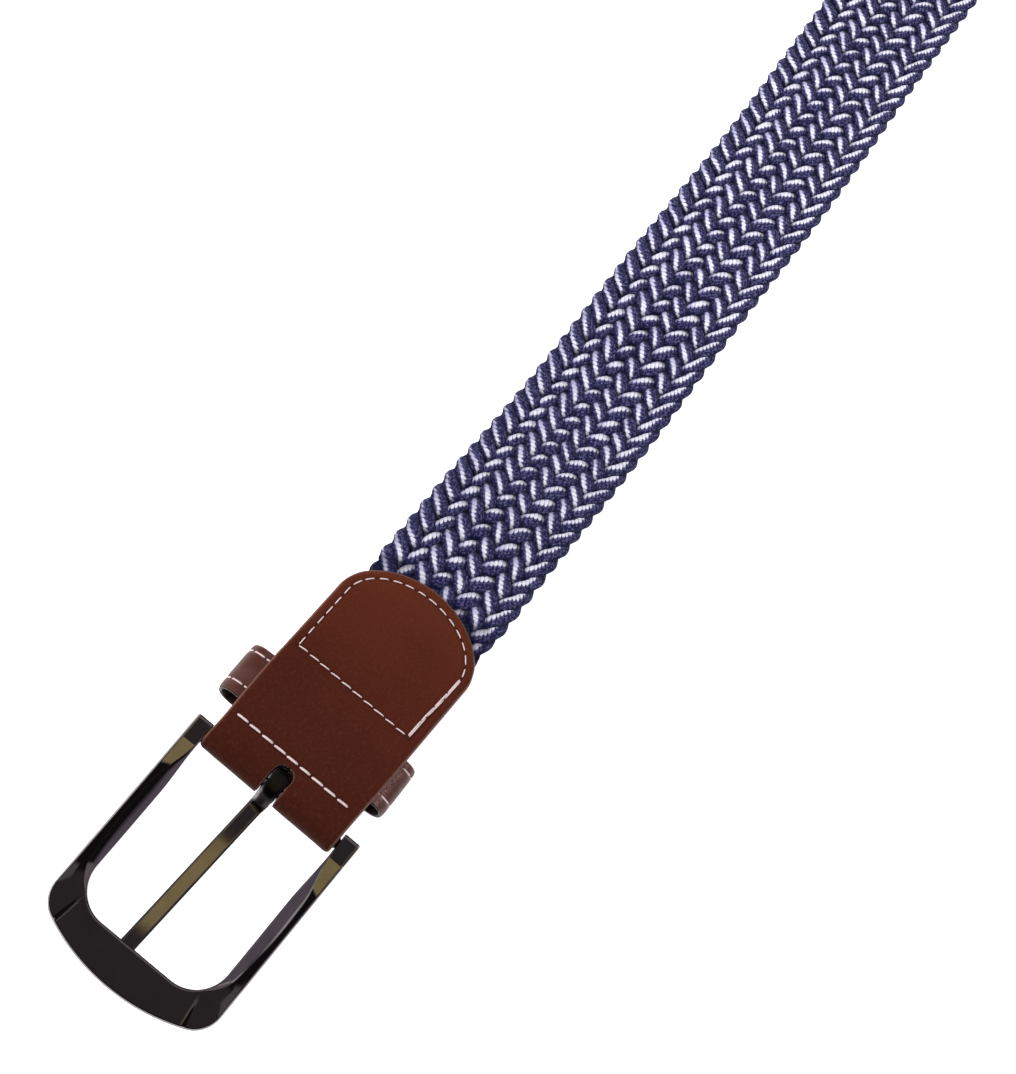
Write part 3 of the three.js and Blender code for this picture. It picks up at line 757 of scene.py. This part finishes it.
def make_tab():
    """Two leaves of one strip, each between its inner and outer heights, that meet in a
    fold, half rings round the bar."""
    parts = []
    for face, slot_end in ((-1, SLOT_END_BELOW), (1, SLOT_END)):
        x, y, middle, half, shares, layers, shades = tab_leaf(slot_end)
        for skin in (1, -1):
            points = beside(x, y, BAR_Z + face * (middle + skin * half))
            shade = shades[0] if skin < 0 else shades[1] * (face < 0)
            parts.append(sheet(points, **layers, shade=shade))
    angle = np.linspace(QUARTER, 3 * QUARTER, 31)[:, None]
    for end in (0, -1):
        for skin in (1, -1):
            radius = middle[end] + skin * half[end]
            x_fold = radius * np.cos(angle)
            pull = np.clip(-x_fold / FOLD_RADIUS, 0, 1) ** 4 * shares ** 3
            points = beside(x_fold, y[end] - 0.15 * np.sign(y[end]) * pull,
                            BAR_Z + radius * np.sin(angle))
            parts.append(sheet(points, rim=layers["rim"][end], far=x_fold, seam=0, shade=0))
    piece = make_piece("tab_leather", joined(parts), STRAP_LEATHER, "strap",
                       merge=0.004)
    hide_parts("leather_tab")


def keeper_path(count):
    """Closed path round a rounded rectangle at the keeper band's middle, as across and
    height, with its outward direction."""
    inset = LEATHER / 2
    radius = KEEPER_CORNER - inset
    far, low, high = KEEPER_HALF_SPAN - inset - radius, inset + radius, BAR_Z - radius
    turn = (np.linspace(0, 1, 15) + np.arange(4)[:, None]) * QUARTER
    way = beside(np.cos(turn), np.sin(turn))
    centres = np.array([(far, high), (-far, high), (-far, low), (far, low)])
    ring = np.concatenate([centres[:, None] + radius * way, way], axis=-1).reshape(-1, 4)
    ring = np.vstack([ring, ring[:1]])
    run = lengths(ring[:, :2])
    ring = sampled(ring, run, np.linspace(0, run[-1], count, endpoint=False))
    return ring[:, :2], unit(ring[:, 2:])


def keeper_placed(along_belt, across, height):
    """Turns the keeper's points by its yaw and moves them to its place."""
    x, y = turned(along_belt, across, KEEPER_YAW)
    return beside(KEEPER_AT[0] + x, KEEPER_AT[1] + y, height)


def make_keeper():
    """Band whose flat section is carried round the closed path. The section is a
    superellipse, u to the power 6.7 and v to the power 3.2, with a furrow under each row of
    stitches in its outer face."""
    share = np.sin(np.linspace(1, -1, 64) * QUARTER)
    u = KEEPER_WIDTH / 2 * share
    v = LEATHER / 2 * (1 - np.abs(share) ** 6.7) ** (1 / 3.2)
    furrows = sum(KEEPER_FURROW * bump((u - row) / 0.42) for row in KEEPER_ROWS)
    u, v = np.append(u, u[-2:0:-1]), np.append(v - furrows, -v[-2:0:-1])
    path, out = keeper_path(260)
    across, height = (path[:, None, i] + out[:, None, i] * v for i in (0, 1))
    part = sheet(
        keeper_placed(u, across, height), 1, 1,
        rim=bump((KEEPER_WIDTH / 2 - np.abs(u)) / 0.5),
        raw=np.maximum(smooth((0.1 - v) / 0.3), smooth((-u - KEEPER_WIDTH / 2 + 0.35) / 0.2)),
        entry=bump((across - 0.6 + KEEPER_HALF_SPAN - 2.6) / 0.9) * smooth((height - 5.5) / 1.5))
    piece = make_piece("keeper_band", part, KEEPER_LEATHER, "strap")
    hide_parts("keeper_loop")


# Leather tip. Way along and thickness.
TIP_TABLE = (
    (0, TIP_THICK - 0.2), (1.5, TIP_THICK), (TIP_BRAID_LENGTH + 0.5, TIP_THICK),
    (TIP_BRAID_LENGTH + 6, TIP_THIN), (TIP_LENGTH - 4, TIP_THIN),
    (TIP_LENGTH, TIP_THIN - 0.4),
)


def tip_placed(x, y, z):
    """Turns the tip's own points to the braid's heading and moves them to its end."""
    start, next_point = braid_line(np.array([TIP_X, TIP_X + 1]))
    step = next_point - start
    x, y = turned(x, y, math.atan2(step[1], step[0]))
    return beside(start[0] + x, start[1] + y, z)


def tip_heights(x, y, inset):
    """Outer and inner heights of the upper and lower leaf."""
    top = eased(TIP_TABLE, 1, x)
    seam = np.minimum(TIP_THICK / 2, top * 0.55)
    shoulder = np.clip(1 - inset / 1.8, 0, 1) ** 2.4
    furrow = 0.2 * bump((inset - STITCH_INSET) / 0.45)
    upper = top - 0.9 * shoulder - furrow + 0.06 * bump((inset - 1) / 0.5)
    across = 1 - smooth((np.abs(y) - 15.2) / 0.8)
    pocket = TIP_BRAID_HALF_THICK * smooth((TIP_BRAID_LENGTH + 2 - x) / 2) * across
    pocket = np.maximum(pocket, 0.02)
    return upper, seam + pocket, seam - pocket, 0.3 * furrow


def make_tip():
    """Two leaves round the braid's end, joined past it and open towards the braid."""
    straight = np.linspace(0, TIP_LENGTH - TIP_ROUND, 70)
    x, y, inset, *_ = leaf_grid(*strap_outline(straight, TIP_LENGTH, tip_side, 80), 36)
    keep = edge_share(inset, 0.5) * edge_share(np.maximum(x, 0), 0.5)
    top, ceiling, floor, bottom = tip_heights(x, y, inset)
    layers = {"rim": bump(inset / 0.75) + bump(x / 0.6), "far": x + 30,
              "seam": bump((inset - STITCH_INSET) / 0.45), "shade": 0}
    parts = []
    for low, high in ((ceiling, top), (bottom, floor)):
        for skin in (1, -1):
            z = (low + high) / 2 + skin * (high - low) / 2 * keep
            parts.append(sheet(tip_placed(x, y, z), **layers))
    piece = make_piece("tip_leather", joined(parts), STRAP_LEATHER, "strap",
                       merge=0.004)
    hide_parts("leather_tip")


# Sewing. Each stitch is a spindle laid from one hole to the next.
SPINDLE_RINGS = 9
SPINDLE_SIDES = 8


def stitches(starts, ends, width, arch=0.3, out=(0, 0, 1)):
    """Spindles between pairs of points: rings whose size follows a blunt arch along the
    stitch, lifted outwards at the middle, each ring a circle flattened to four fifths."""
    run = ends - starts
    ahead = unit(run)
    side = unit(np.cross(out, ahead))
    up = np.cross(ahead, side)
    t = 0.5 - 0.5 * np.cos(np.linspace(0, math.pi, SPINDLE_RINGS))
    size = width / 2 * ((1 - np.abs(2 * t - 1) ** 7) ** 0.5 * 0.8 + 0.2)
    rise = arch * (1 - (2 * t - 1) ** 4) - 0.18
    path = starts[:, None] + run[:, None] * t[:, None] + up[:, None] * rise[:, None]
    angle = np.linspace(TURN, 0, SPINDLE_SIDES, endpoint=False)
    ring = size[:, None, None] * beside(np.cos(angle), 0.8 * np.sin(angle))
    skin = (path[:, :, None] + side[:, None, None] * ring[..., :1]
            + up[:, None, None] * ring[..., 1:])
    along = np.linalg.norm(run, axis=-1)[:, None, None] * t[:, None] + 0.12 * np.sin(angle)
    return joined([tube(skin[i], along=along[i]) for i in range(len(skin))])


def tab_row(path, length, gap, seed, width, face=1, slant=0, lift=0.16, arch=0.3):
    """A row of stitches over the tab's upper leaf or under its lower leaf."""
    ends = []
    for x, y in (end.T for end in run_of_stitches(path, length, gap, seed, slant)):
        inset = np.where(x < TAB_END - TAB_ROUND, tab_side(x) - np.abs(y), STITCH_INSET)
        ends.append(beside(x, y, BAR_Z + face * (tab_top(x, np.maximum(inset, 0.2)) + lift)))
    return stitches(*ends, width, arch, (0, 0, face))


def row_round(straight, end, side):
    """Path of the stitches that follow a strap's outline."""
    outline, spine = strap_outline(straight, end, side, 90)
    return outline + unit(spine - outline) * STITCH_INSET


def run_of_stitches(path, length, gap, seed, slant=0):
    """Start and end places of stitches along a polyline, with a little unevenness."""
    luck = np.random.default_rng(seed)
    run = lengths(path)
    count = max(int(round(run[-1] / (length + gap))), 1)
    edges = np.linspace(0, run[-1], count + 1)
    wobble = luck.uniform(-0.12, 0.12, (2, count))
    end = between(edges[:-1], edges[1:], length / (length + gap))
    a, b = (sampled(path, run, at) for at in (edges[:-1] + wobble[0], end + wobble[1]))
    square = unit(b - a)[:, ::-1] * (-1, 1)
    return a + square * slant, b - square * slant


def keeper_stitches():
    """Long stitches round the keeper's outside, near both of its edges."""
    samples, count = 400, 34
    path, out = keeper_path(samples)
    outside = path + out * (LEATHER / 2 - 0.05)
    at = np.linspace(0, samples, count, endpoint=False)
    ends = at.astype(int), (at + samples / count * 0.84).astype(int) % samples
    facing = keeper_placed(0, *sum(out[end] for end in ends).T) - (*KEEPER_AT, 0)
    return [stitches(*(keeper_placed(row, *outside[end].T) for end in ends), KEEPER_THREAD,
                     0.2, facing) for row in KEEPER_ROWS]


def make_sewing():
    """Stitch rows of the tab, the keeper and the tip."""
    first = np.array([(FIRST_ROW_X, 15.2), (FIRST_ROW_X, -15)])
    second = np.array([(SECOND_ROW_X, 15.2), (SECOND_ROW_X, -14.3)])
    straight = np.linspace(SECOND_ROW_X, TAB_END - TAB_ROUND, 30)
    seam = row_round(straight, TAB_END, tab_side)
    parts = []
    for face, edge in ((1, seam[:-len(straight)]), (-1, seam)):
        parts += [tab_row(first, 2.95, 0.43, 11, 0.56, face, -0.06),
                  tab_row(second, 2.5, 0.45, 12, 0.33, face, -0.1),
                  tab_row(edge, 2.15, 0.85, 13, 0.31, face)]
    doubled = np.array([(26.7, -14.6), (32, -14.7), (37.5, -15.1), (43.4, -15.25)])
    for shift, length, seed in ((0.15, 4.2, 14), (-0.15, 5.6, 15)):
        parts.append(tab_row(doubled + (0, shift), length, 0.1, seed, 0.38, lift=0.26, arch=0.2))
    parts += keeper_stitches()
    row = row_round(np.linspace(2.5, TIP_LENGTH - TIP_ROUND, 30), TIP_LENGTH, tip_side)
    mouth = beside(2.5, np.linspace(-13.9, 13.9, 20))
    for path, seed in ((row, 21), (mouth, 22)):
        ends = [tip_placed(*place.T, tip_heights(*place.T, STITCH_INSET)[0] + 0.14)
                for place in run_of_stitches(path, 2.2, 0.8, seed)]
        parts.append(stitches(*ends, 0.6))
    make_piece("sewing_thread", joined(parts), THREAD, "strap", merge=0)


# Buckle. Its pieces are shaped level, with u towards the front, v to the left and w up.

def on_bar(u, v, w):
    """Places a buckle piece: -X is u, leaned by the pitch, turned by the yaw, at the bar."""
    x, z = turned(-u, w, FRAME_PITCH)
    x, y = turned(x, v, FRAME_YAW)
    return beside(x, y + FRAME_Y, z + BAR_Z)


# Way along the arm, then the ridge's distance from the window, and how far the face falls
# from it to the window's edge and to the outer edge.
BLOCK_END = 3.2
BLOCK_FACE = (0.3, 0.25, 0.05)
ARM_TABLE = (
    (BLOCK_END, 0.3, 0.25, 0.24), (6, 0.8, 0.5, 0.3), (9, 1.7, 1.1, 0.35),
    (12, 2.5, 1.6, 0.4), (17, 2.85, 1.8, 0.4), (24, 2.8, 1.8, 0.4),
    (30, 2.3, 1.5, 0.45), (WINDOW_ARM_END, 1.9, 1.2, 0.5),
)
CREASE_FACE = np.array([0.5, 0.35, 0.5])
FRONT_FACE = np.array([0.5, 0.35, 0.1])


def arc(x, y, radius, turn):
    """Points round a centre, by their turn from the +Y direction."""
    return beside(x + radius * np.sin(turn), y + radius * np.cos(turn))


def frame_stations():
    """Window edge, outer edge and face values round one half of the frame: an arm straight
    across, a corner, a bend and the front's arc, each against its own share."""
    window_y = WINDOW_HALF_WIDTH - WINDOW_CORNER_RADIUS
    window = (WINDOW_ARM_END, window_y, WINDOW_CORNER_RADIUS)
    front_arc = (FRAME_FRONT - FRAME_FRONT_RADIUS, 0, FRAME_FRONT_RADIUS)
    corner_y = FRAME_HALF_WIDTH - FRAME_CORNER_RADIUS
    reach = FRAME_FRONT_RADIUS - FRAME_CORNER_RADIUS
    corner_turn = math.acos(corner_y / reach)
    corner_x = front_arc[0] + reach * math.sin(corner_turn)
    front_turn = math.acos(window_y / FRAME_FRONT_RADIUS)
    u = np.concatenate([np.linspace(-FRAME_HEEL, 3, 8), (3.1, 3.17, 3.23, 3.3),
                        np.linspace(3.4, WINDOW_ARM_END, 70)])
    across = between(WINDOW_HEEL_HALF_WIDTH, WINDOW_HALF_WIDTH, smooth((u - 3.1) / 12))
    arm_face = beside(*(curved(ARM_TABLE, i, u) for i in (1, 2, 3)))
    arm = (beside(u, across), beside(u, FRAME_HALF_WIDTH),
           np.where(u[:, None] < BLOCK_END, BLOCK_FACE, arm_face))
    t = np.linspace(0, 1, 29)[1:]
    straight = beside(between(WINDOW_ARM_END, corner_x, t / 0.4), FRAME_HALF_WIDTH)
    bent = arc(corner_x, corner_y, FRAME_CORNER_RADIUS, corner_turn * (t - 0.4) / 0.6)
    corner = (arc(*window, t * CREASE_ANGLE), np.where(t[:, None] < 0.4, straight, bent),
              between(np.array(ARM_TABLE[-1][1:]), CREASE_FACE, t[:, None]))
    t = np.concatenate([np.linspace(0.015, 0.12, 8), np.linspace(0.15, 1, 20)])
    bend = (arc(*window, between(CREASE_ANGLE, QUARTER, t)),
            arc(*front_arc, between(corner_turn, front_turn, t)),
            between(CREASE_FACE, FRONT_FACE, smooth(t[:, None] / 0.16)))
    t = np.linspace(0, 1, 30)[1:]
    front = (beside(WINDOW_FRONT, between(window_y, 0, t)),
             arc(*front_arc, between(front_turn, QUARTER, t)),
             np.tile(FRONT_FACE, (len(t), 1)))
    return tuple(np.concatenate(column) for column in zip(arm, corner, bend, front))


def eased_corners(polygon, radius, count):
    """Rings with their corners rounded: each corner becomes a quadratic curve between
    points at the radius from it, with one more point on the flat at either side."""
    pulls = []
    for step in (1, -1):
        way = np.roll(polygon, step, axis=1) - polygon
        length = np.linalg.norm(way, axis=-1, keepdims=True)
        pulls.append(way / length * np.minimum(radius, length * 0.3))
    back, on = pulls
    curve = [back * (1 - t) ** 2 + on * t ** 2 for t in np.linspace(0, 1, count)]
    points = polygon[:, :, None] + np.stack([back * 1.5, *curve, on * 1.5], axis=2)
    return points.reshape(len(polygon), -1, 2)


def make_frame():
    """Sections between the window's edge and the outer edge, faced, bevelled and carried
    round from one heel end to the other; under the front they have the prong's groove."""
    inner, outer, face = (
        np.vstack([half, half[-2::-1] * flip])
        for half, flip in zip(frame_stations(), ((1, -1), (1, -1), 1)))
    ridge, bevel, fall = face.T
    width = np.linalg.norm(outer - inner, axis=-1)
    t, c = FRAME_HALF_THICK, FRAME_CHAMFER
    swell = np.linspace(0, 1, 6)[1:-1]
    spread = np.linspace(0, 1, 5)[1:-1]
    flat = width - c - ridge
    undercut = 0.6 * smooth((inner[:, 0] - WINDOW_ARM_END) / 4)
    across = beside(0, *(ridge * s for s in swell), ridge,
                    *(ridge + flat * s for s in spread), width - c, width,
                    width - undercut, width - c - undercut, c, 0)
    up = beside(t - bevel, *(t - bevel * (1 - s) * (1 - 0.25 * s) for s in swell), t,
                *(t - fall * s * (1.08 - 0.08 * s) for s in spread), t - fall,
                t - fall - c, c - t, -t, -t, c - t)
    radius = np.array([0.1] + [0.16] * 4 + [0.008] + [0.05] * 3 + [0.16] * 6)[:, None]
    ring = eased_corners(beside(across, up), radius, 5)
    share = ring[..., 0] / width[:, None]
    u, v = (between(inner[:, None, i], outer[:, None, i], share) for i in (0, 1))
    w = ring[..., 1]
    off_groove = np.abs(v - PRONG_Y - u * math.tan(-PRONG_YAW))
    in_groove = ((off_groove < PRONG_WIDTH / 2 + GROOVE_MARGIN)
                 & (u < PRONG_REACH + GROOVE_MARGIN) & (u > WINDOW_FRONT - 2))
    groove_top = PRONG_UNDERSIDE + PRONG_THICK + 0.3
    w = np.where(in_groove & (w < groove_top), groove_top, w)
    piece = make_piece("buckle_body", tube(on_bar(u, v, w)), METAL, "frame")
    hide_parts("buckle_frame")


def make_bar():
    """Round pin: a stepped outline turned about its own length."""
    shoulder = WINDOW_HEEL_HALF_WIDTH - 0.15
    half = np.array([
        (6, BAR_RADIUS), (shoulder - 0.2, BAR_RADIUS), (shoulder, BAR_RADIUS - 0.15),
        (shoulder + 0.05, BAR_END_RADIUS), (BAR_HALF_LENGTH, BAR_END_RADIUS)])
    v, radius = np.vstack([half[::-1] * (-1, 1), half]).T[..., None]
    angle = np.linspace(0, TURN, 48, endpoint=False)
    part = tube(on_bar(radius * np.cos(angle), v, radius * np.sin(angle)))
    piece = make_piece("bar_pin", part, METAL, "frame")
    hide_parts("heel_bar")


def make_prong():
    """Flat bar with bevelled edges carried along its shaft, up over a foot, which is a cubic
    curve, and round the heel bar in a curl. The foot and curl carry near-black painted shade,
    all but a bright front flank."""
    shaft = beside(np.linspace(PRONG_REACH, 5.2, 60), PRONG_UNDERSIDE + PRONG_THICK / 2)
    angle = np.radians(np.linspace(38, 322, 70))
    curl = (TUNNEL_RADIUS + 0.775) * beside(np.cos(angle), np.sin(angle))
    curl[:, 0] *= np.where(curl[:, 0] < 0, EYE_STRETCH, 1)
    t = np.linspace(0, 1, 16)[1:-1, None]
    start, end = shaft[-1], curl[0]
    foot = (start * (1 - t) ** 3 + (start + (-1.9, 0)) * 3 * t * (1 - t) ** 2
            + (end + (1.2, -1.25)) * 3 * t ** 2 * (1 - t) + end * t ** 3)
    rough = np.vstack([shaft, foot, curl])
    run = lengths(rough)
    at = np.linspace(0, run[-1], 300)
    path = sampled(rough, run, at)
    ahead = unit(np.gradient(path, axis=0))
    ahead = unit(beside(*(np.convolve(np.pad(column, 3, "edge"), np.full(7, 1 / 7), "valid")
                          for column in ahead.T)))
    past_shaft = at[:, None] - run[len(shaft)]
    near_tip = smooth((PRONG_REACH - path[:, :1] + 0.02) / 1.4) ** 0.5
    curled = smooth((past_shaft + 0.4) / 2.4)
    high = (PRONG_THICK / 2 + 0.025 * curled) * (0.35 + 0.65 * near_tip)
    wide = PRONG_WIDTH / 2 * (0.75 + 0.25 * near_tip) + 0.13 * curled
    slim, fall, bevel = 0.42 + 0.2 * curled, 0.42 + 0.16 * curled, 0.15
    side = beside(np.hstack([wide - bevel, wide, wide, wide - slim]),
                  np.hstack([-high, bevel - high, high - fall, high]))
    corners = np.hstack([side, side[:, ::-1] * (-1, 1)])
    ring = eased_corners(corners, 0.14 + 0.3 * curled[..., None], 5)
    turn = np.arctan2(ring[..., 1] / high, ring[..., 0] / wide)
    oval = beside(np.cos(turn) * wide, np.sin(turn) * high)
    ring = between(ring, oval, curled[..., None])
    u = path[:, :1] + ahead[:, 1:] * ring[..., 1]
    w = path[:, 1:] - ahead[:, :1] * ring[..., 1]
    v = ring[..., 0] - 0.1 * curled
    # painted shade: the foot and curl go near black, all but the bright front flank, where the
    # reflected highlight stays
    bright_flank = smooth((v - 0.8) / 0.5) * smooth((u - 0.4) / 1.2)
    shade_ramp = smooth((past_shaft + 1.1) / 1.1)
    u, v = turned(u, v, -PRONG_YAW)
    part = tube(on_bar(u, v + PRONG_Y, w), tarnish=0.94 * shade_ramp * (1 - bright_flank))
    piece = make_piece("prong_bar", part, METAL, "prong")
    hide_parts("prong")


make_braid()
make_tab()
make_keeper()
make_tip()
make_sewing()
make_frame()
make_bar()
make_prong()


# Floor, lights and camera.
FLOOR_REACH = 3.0
FLOOR_Z = -0.0002


def make_floor():
    """Plain pale floor, a broad sheet under the belt, glowing evenly bright except for a painted
    shadow where the tab is over it: grey there, without glow.
    """
    made, _, shader, place = new_material(
        "pale floor", Roughness=0.9, Specular_IOR_Level=0.1, Emission_Color=WHITE)
    x, y = place.part(0), place.part(1)
    start, end = (BELT_ORIGIN[0] + x_at for x_at in (1, 50))
    along = x.ease(start * MM, (start + 4) * MM) * x.ease(end * MM, (end - 6) * MM)
    across = (y - BELT_ORIGIN[1] * MM).reckon("ABSOLUTE")
    # painted shadow under the tab: grey base colour and no glow
    under = along * across.ease(0.016, 0.011)
    tone = dyed((0.93, 0.93, 0.93, 1), (under, (0.25, 0.25, 0.25, 1)))
    feed(shader, {"Base Color": tone, "Emission Strength": under * -0.8 + 0.8})
    mesh = bpy.data.meshes.new("floor")
    corners = ((-1, -1), (1, -1), (1, 1), (-1, 1))
    mesh.from_pydata([(FLOOR_REACH * a, FLOOR_REACH * b, FLOOR_Z) for a, b in corners],
                     [], [range(4)])
    mesh.materials.append(made)
    floor = put_in_scene("floor", mesh)


def make_light(name, place, target, size, power):
    """Square soft light that looks at its target."""
    lamp = bpy.data.lights.new(name, "AREA")
    lamp.shape, lamp.size, lamp.energy = "SQUARE", size, power
    light = put_in_scene(name, lamp)
    light.location = place
    way = Vector(target) - Vector(place)
    light.rotation_euler = way.to_track_quat("-Z", "Y").to_euler()
    light.visible_glossy = False


OVERHEAD = (0.085, 0.072, 0.077, 1)
BLACK_CARD = (0.022, 0.018, 0.02, 1)
GREY_WALL = (0.31, 0.26, 0.32, 1)
BRIGHT_CARD = (0.95, 0.93, 0.92, 1)
SOFT_CARD = (0.4, 0.36, 0.36, 1)
STREAK_CARD = (0.24, 0.22, 0.22, 1)
OLIVE_CARD = (0.7, 0.57, 0.26, 1)


def make_surroundings():
    """Soft room. Dull surfaces get even white. Gloss sees a dark ceiling with an olive panel
    in it, black cards round it, a grey wall lower down, one bright strip and a bright side."""
    world = bpy.data.worlds.new("studio")
    bpy.context.scene.world = world
    world.use_nodes = True
    tree = world.node_tree
    tree.nodes.clear()
    way = node(tree, "ShaderNodeTexCoord", out="Generated")
    x, y, z = (way.part(i) for i in range(3))
    off = y.reckon("ABSOLUTE")
    wall = z.ease(0.56, 0.42).reckon("MAXIMUM", y.ease(0.805, 0.825)) * off.ease(0.5, 0.7)
    side = x.ease(-0.5, -0.8) * y.ease(0, 0.25)
    glow = y.ease(0.3, 0.6).reckon("MAXIMUM", side) * z.ease(0.3, 0.14)
    strip = y.ease(0.765, 0.775) * y.ease(0.815, 0.8) * z.ease(0.4, 0.44)
    overhead = z.ease(0.8, 0.84)
    aside = off.ease(0.125, 0.15) * off.ease(0.47, 0.42) * overhead
    panel = x.ease(-0.068, -0.072) * x.ease(-0.13, -0.122) * overhead * off.ease(0.15, 0.125)
    room = dyed(
        OVERHEAD, (z.ease(0.94, 0.89), BLACK_CARD), (wall, GREY_WALL),
        (z.ease(0.2, 0.1), BLACK_CARD), (x.ease(0.1, 0.22) * z.ease(0.35, 0.5), SOFT_CARD),
        (glow, BRIGHT_CARD), (strip, BRIGHT_CARD), (aside * x.ease(-0.165, -0.14), STREAK_CARD),
        (panel.reckon("MAXIMUM", aside * x.ease(-0.105, -0.09)), OLIVE_CARD))
    for_gloss, plain, seen = (
        node(tree, "ShaderNodeBackground", {"Color": colour, "Strength": strength})
        for colour, strength in ((room, 1), (WHITE, 0.5), (WHITE, 1.1)))
    mixed = plain
    for ray, light in (("Glossy", for_gloss), ("Camera", seen)):
        chosen = node(tree, "ShaderNodeLightPath", out=f"Is {ray} Ray")
        mixed = node(tree, "ShaderNodeMixShader", {0: chosen, 1: mixed, 2: light})
    feed(tree.nodes.new("ShaderNodeOutputWorld"), {0: mixed})


# The photograph's camera: where it stands, its view and its right-hand direction.
CAMERA_PLACE = (-92.58, -17.06, 408.57)
CAMERA_LOOK = (0.38937, 0.03263, -0.9205)
CAMERA_RIGHT = (0.6043, -0.76327, 0.22856)
FOCAL_PIXELS = 1980.0
PICTURE_HEIGHT = 1074.0
SENSOR = 36.0


def make_camera():
    """Camera with the photograph's place, direction, roll and focal length."""
    data = bpy.data.cameras.new("camera")
    data.sensor_fit = "AUTO"
    data.sensor_width = SENSOR
    data.lens = SENSOR * FOCAL_PIXELS / PICTURE_HEIGHT
    data.clip_start, data.clip_end = 0.01, 20
    back = -Vector(CAMERA_LOOK).normalized()
    right = Vector(CAMERA_RIGHT).normalized()
    turn = Matrix((right, back.cross(right).normalized(), back)).transposed()
    camera = put_in_scene("camera", data)
    camera.rotation_mode = "QUATERNION"
    camera.rotation_quaternion = turn.to_quaternion()
    camera.location = (np.array(CAMERA_PLACE) + BELT_ORIGIN) * MM
    bpy.context.scene.camera = camera


make_floor()
make_surroundings()
make_light("key light", (-0.35, 0.55, 0.75), (-0.08, 0.0, 0.0), 0.35, 8.0)
make_light("fill light", (0.25, -0.60, 0.60), (-0.05, 0.0, 0.0), 0.50, 1.5)
make_camera()
bpy.context.scene.view_settings.view_transform = "Standard"
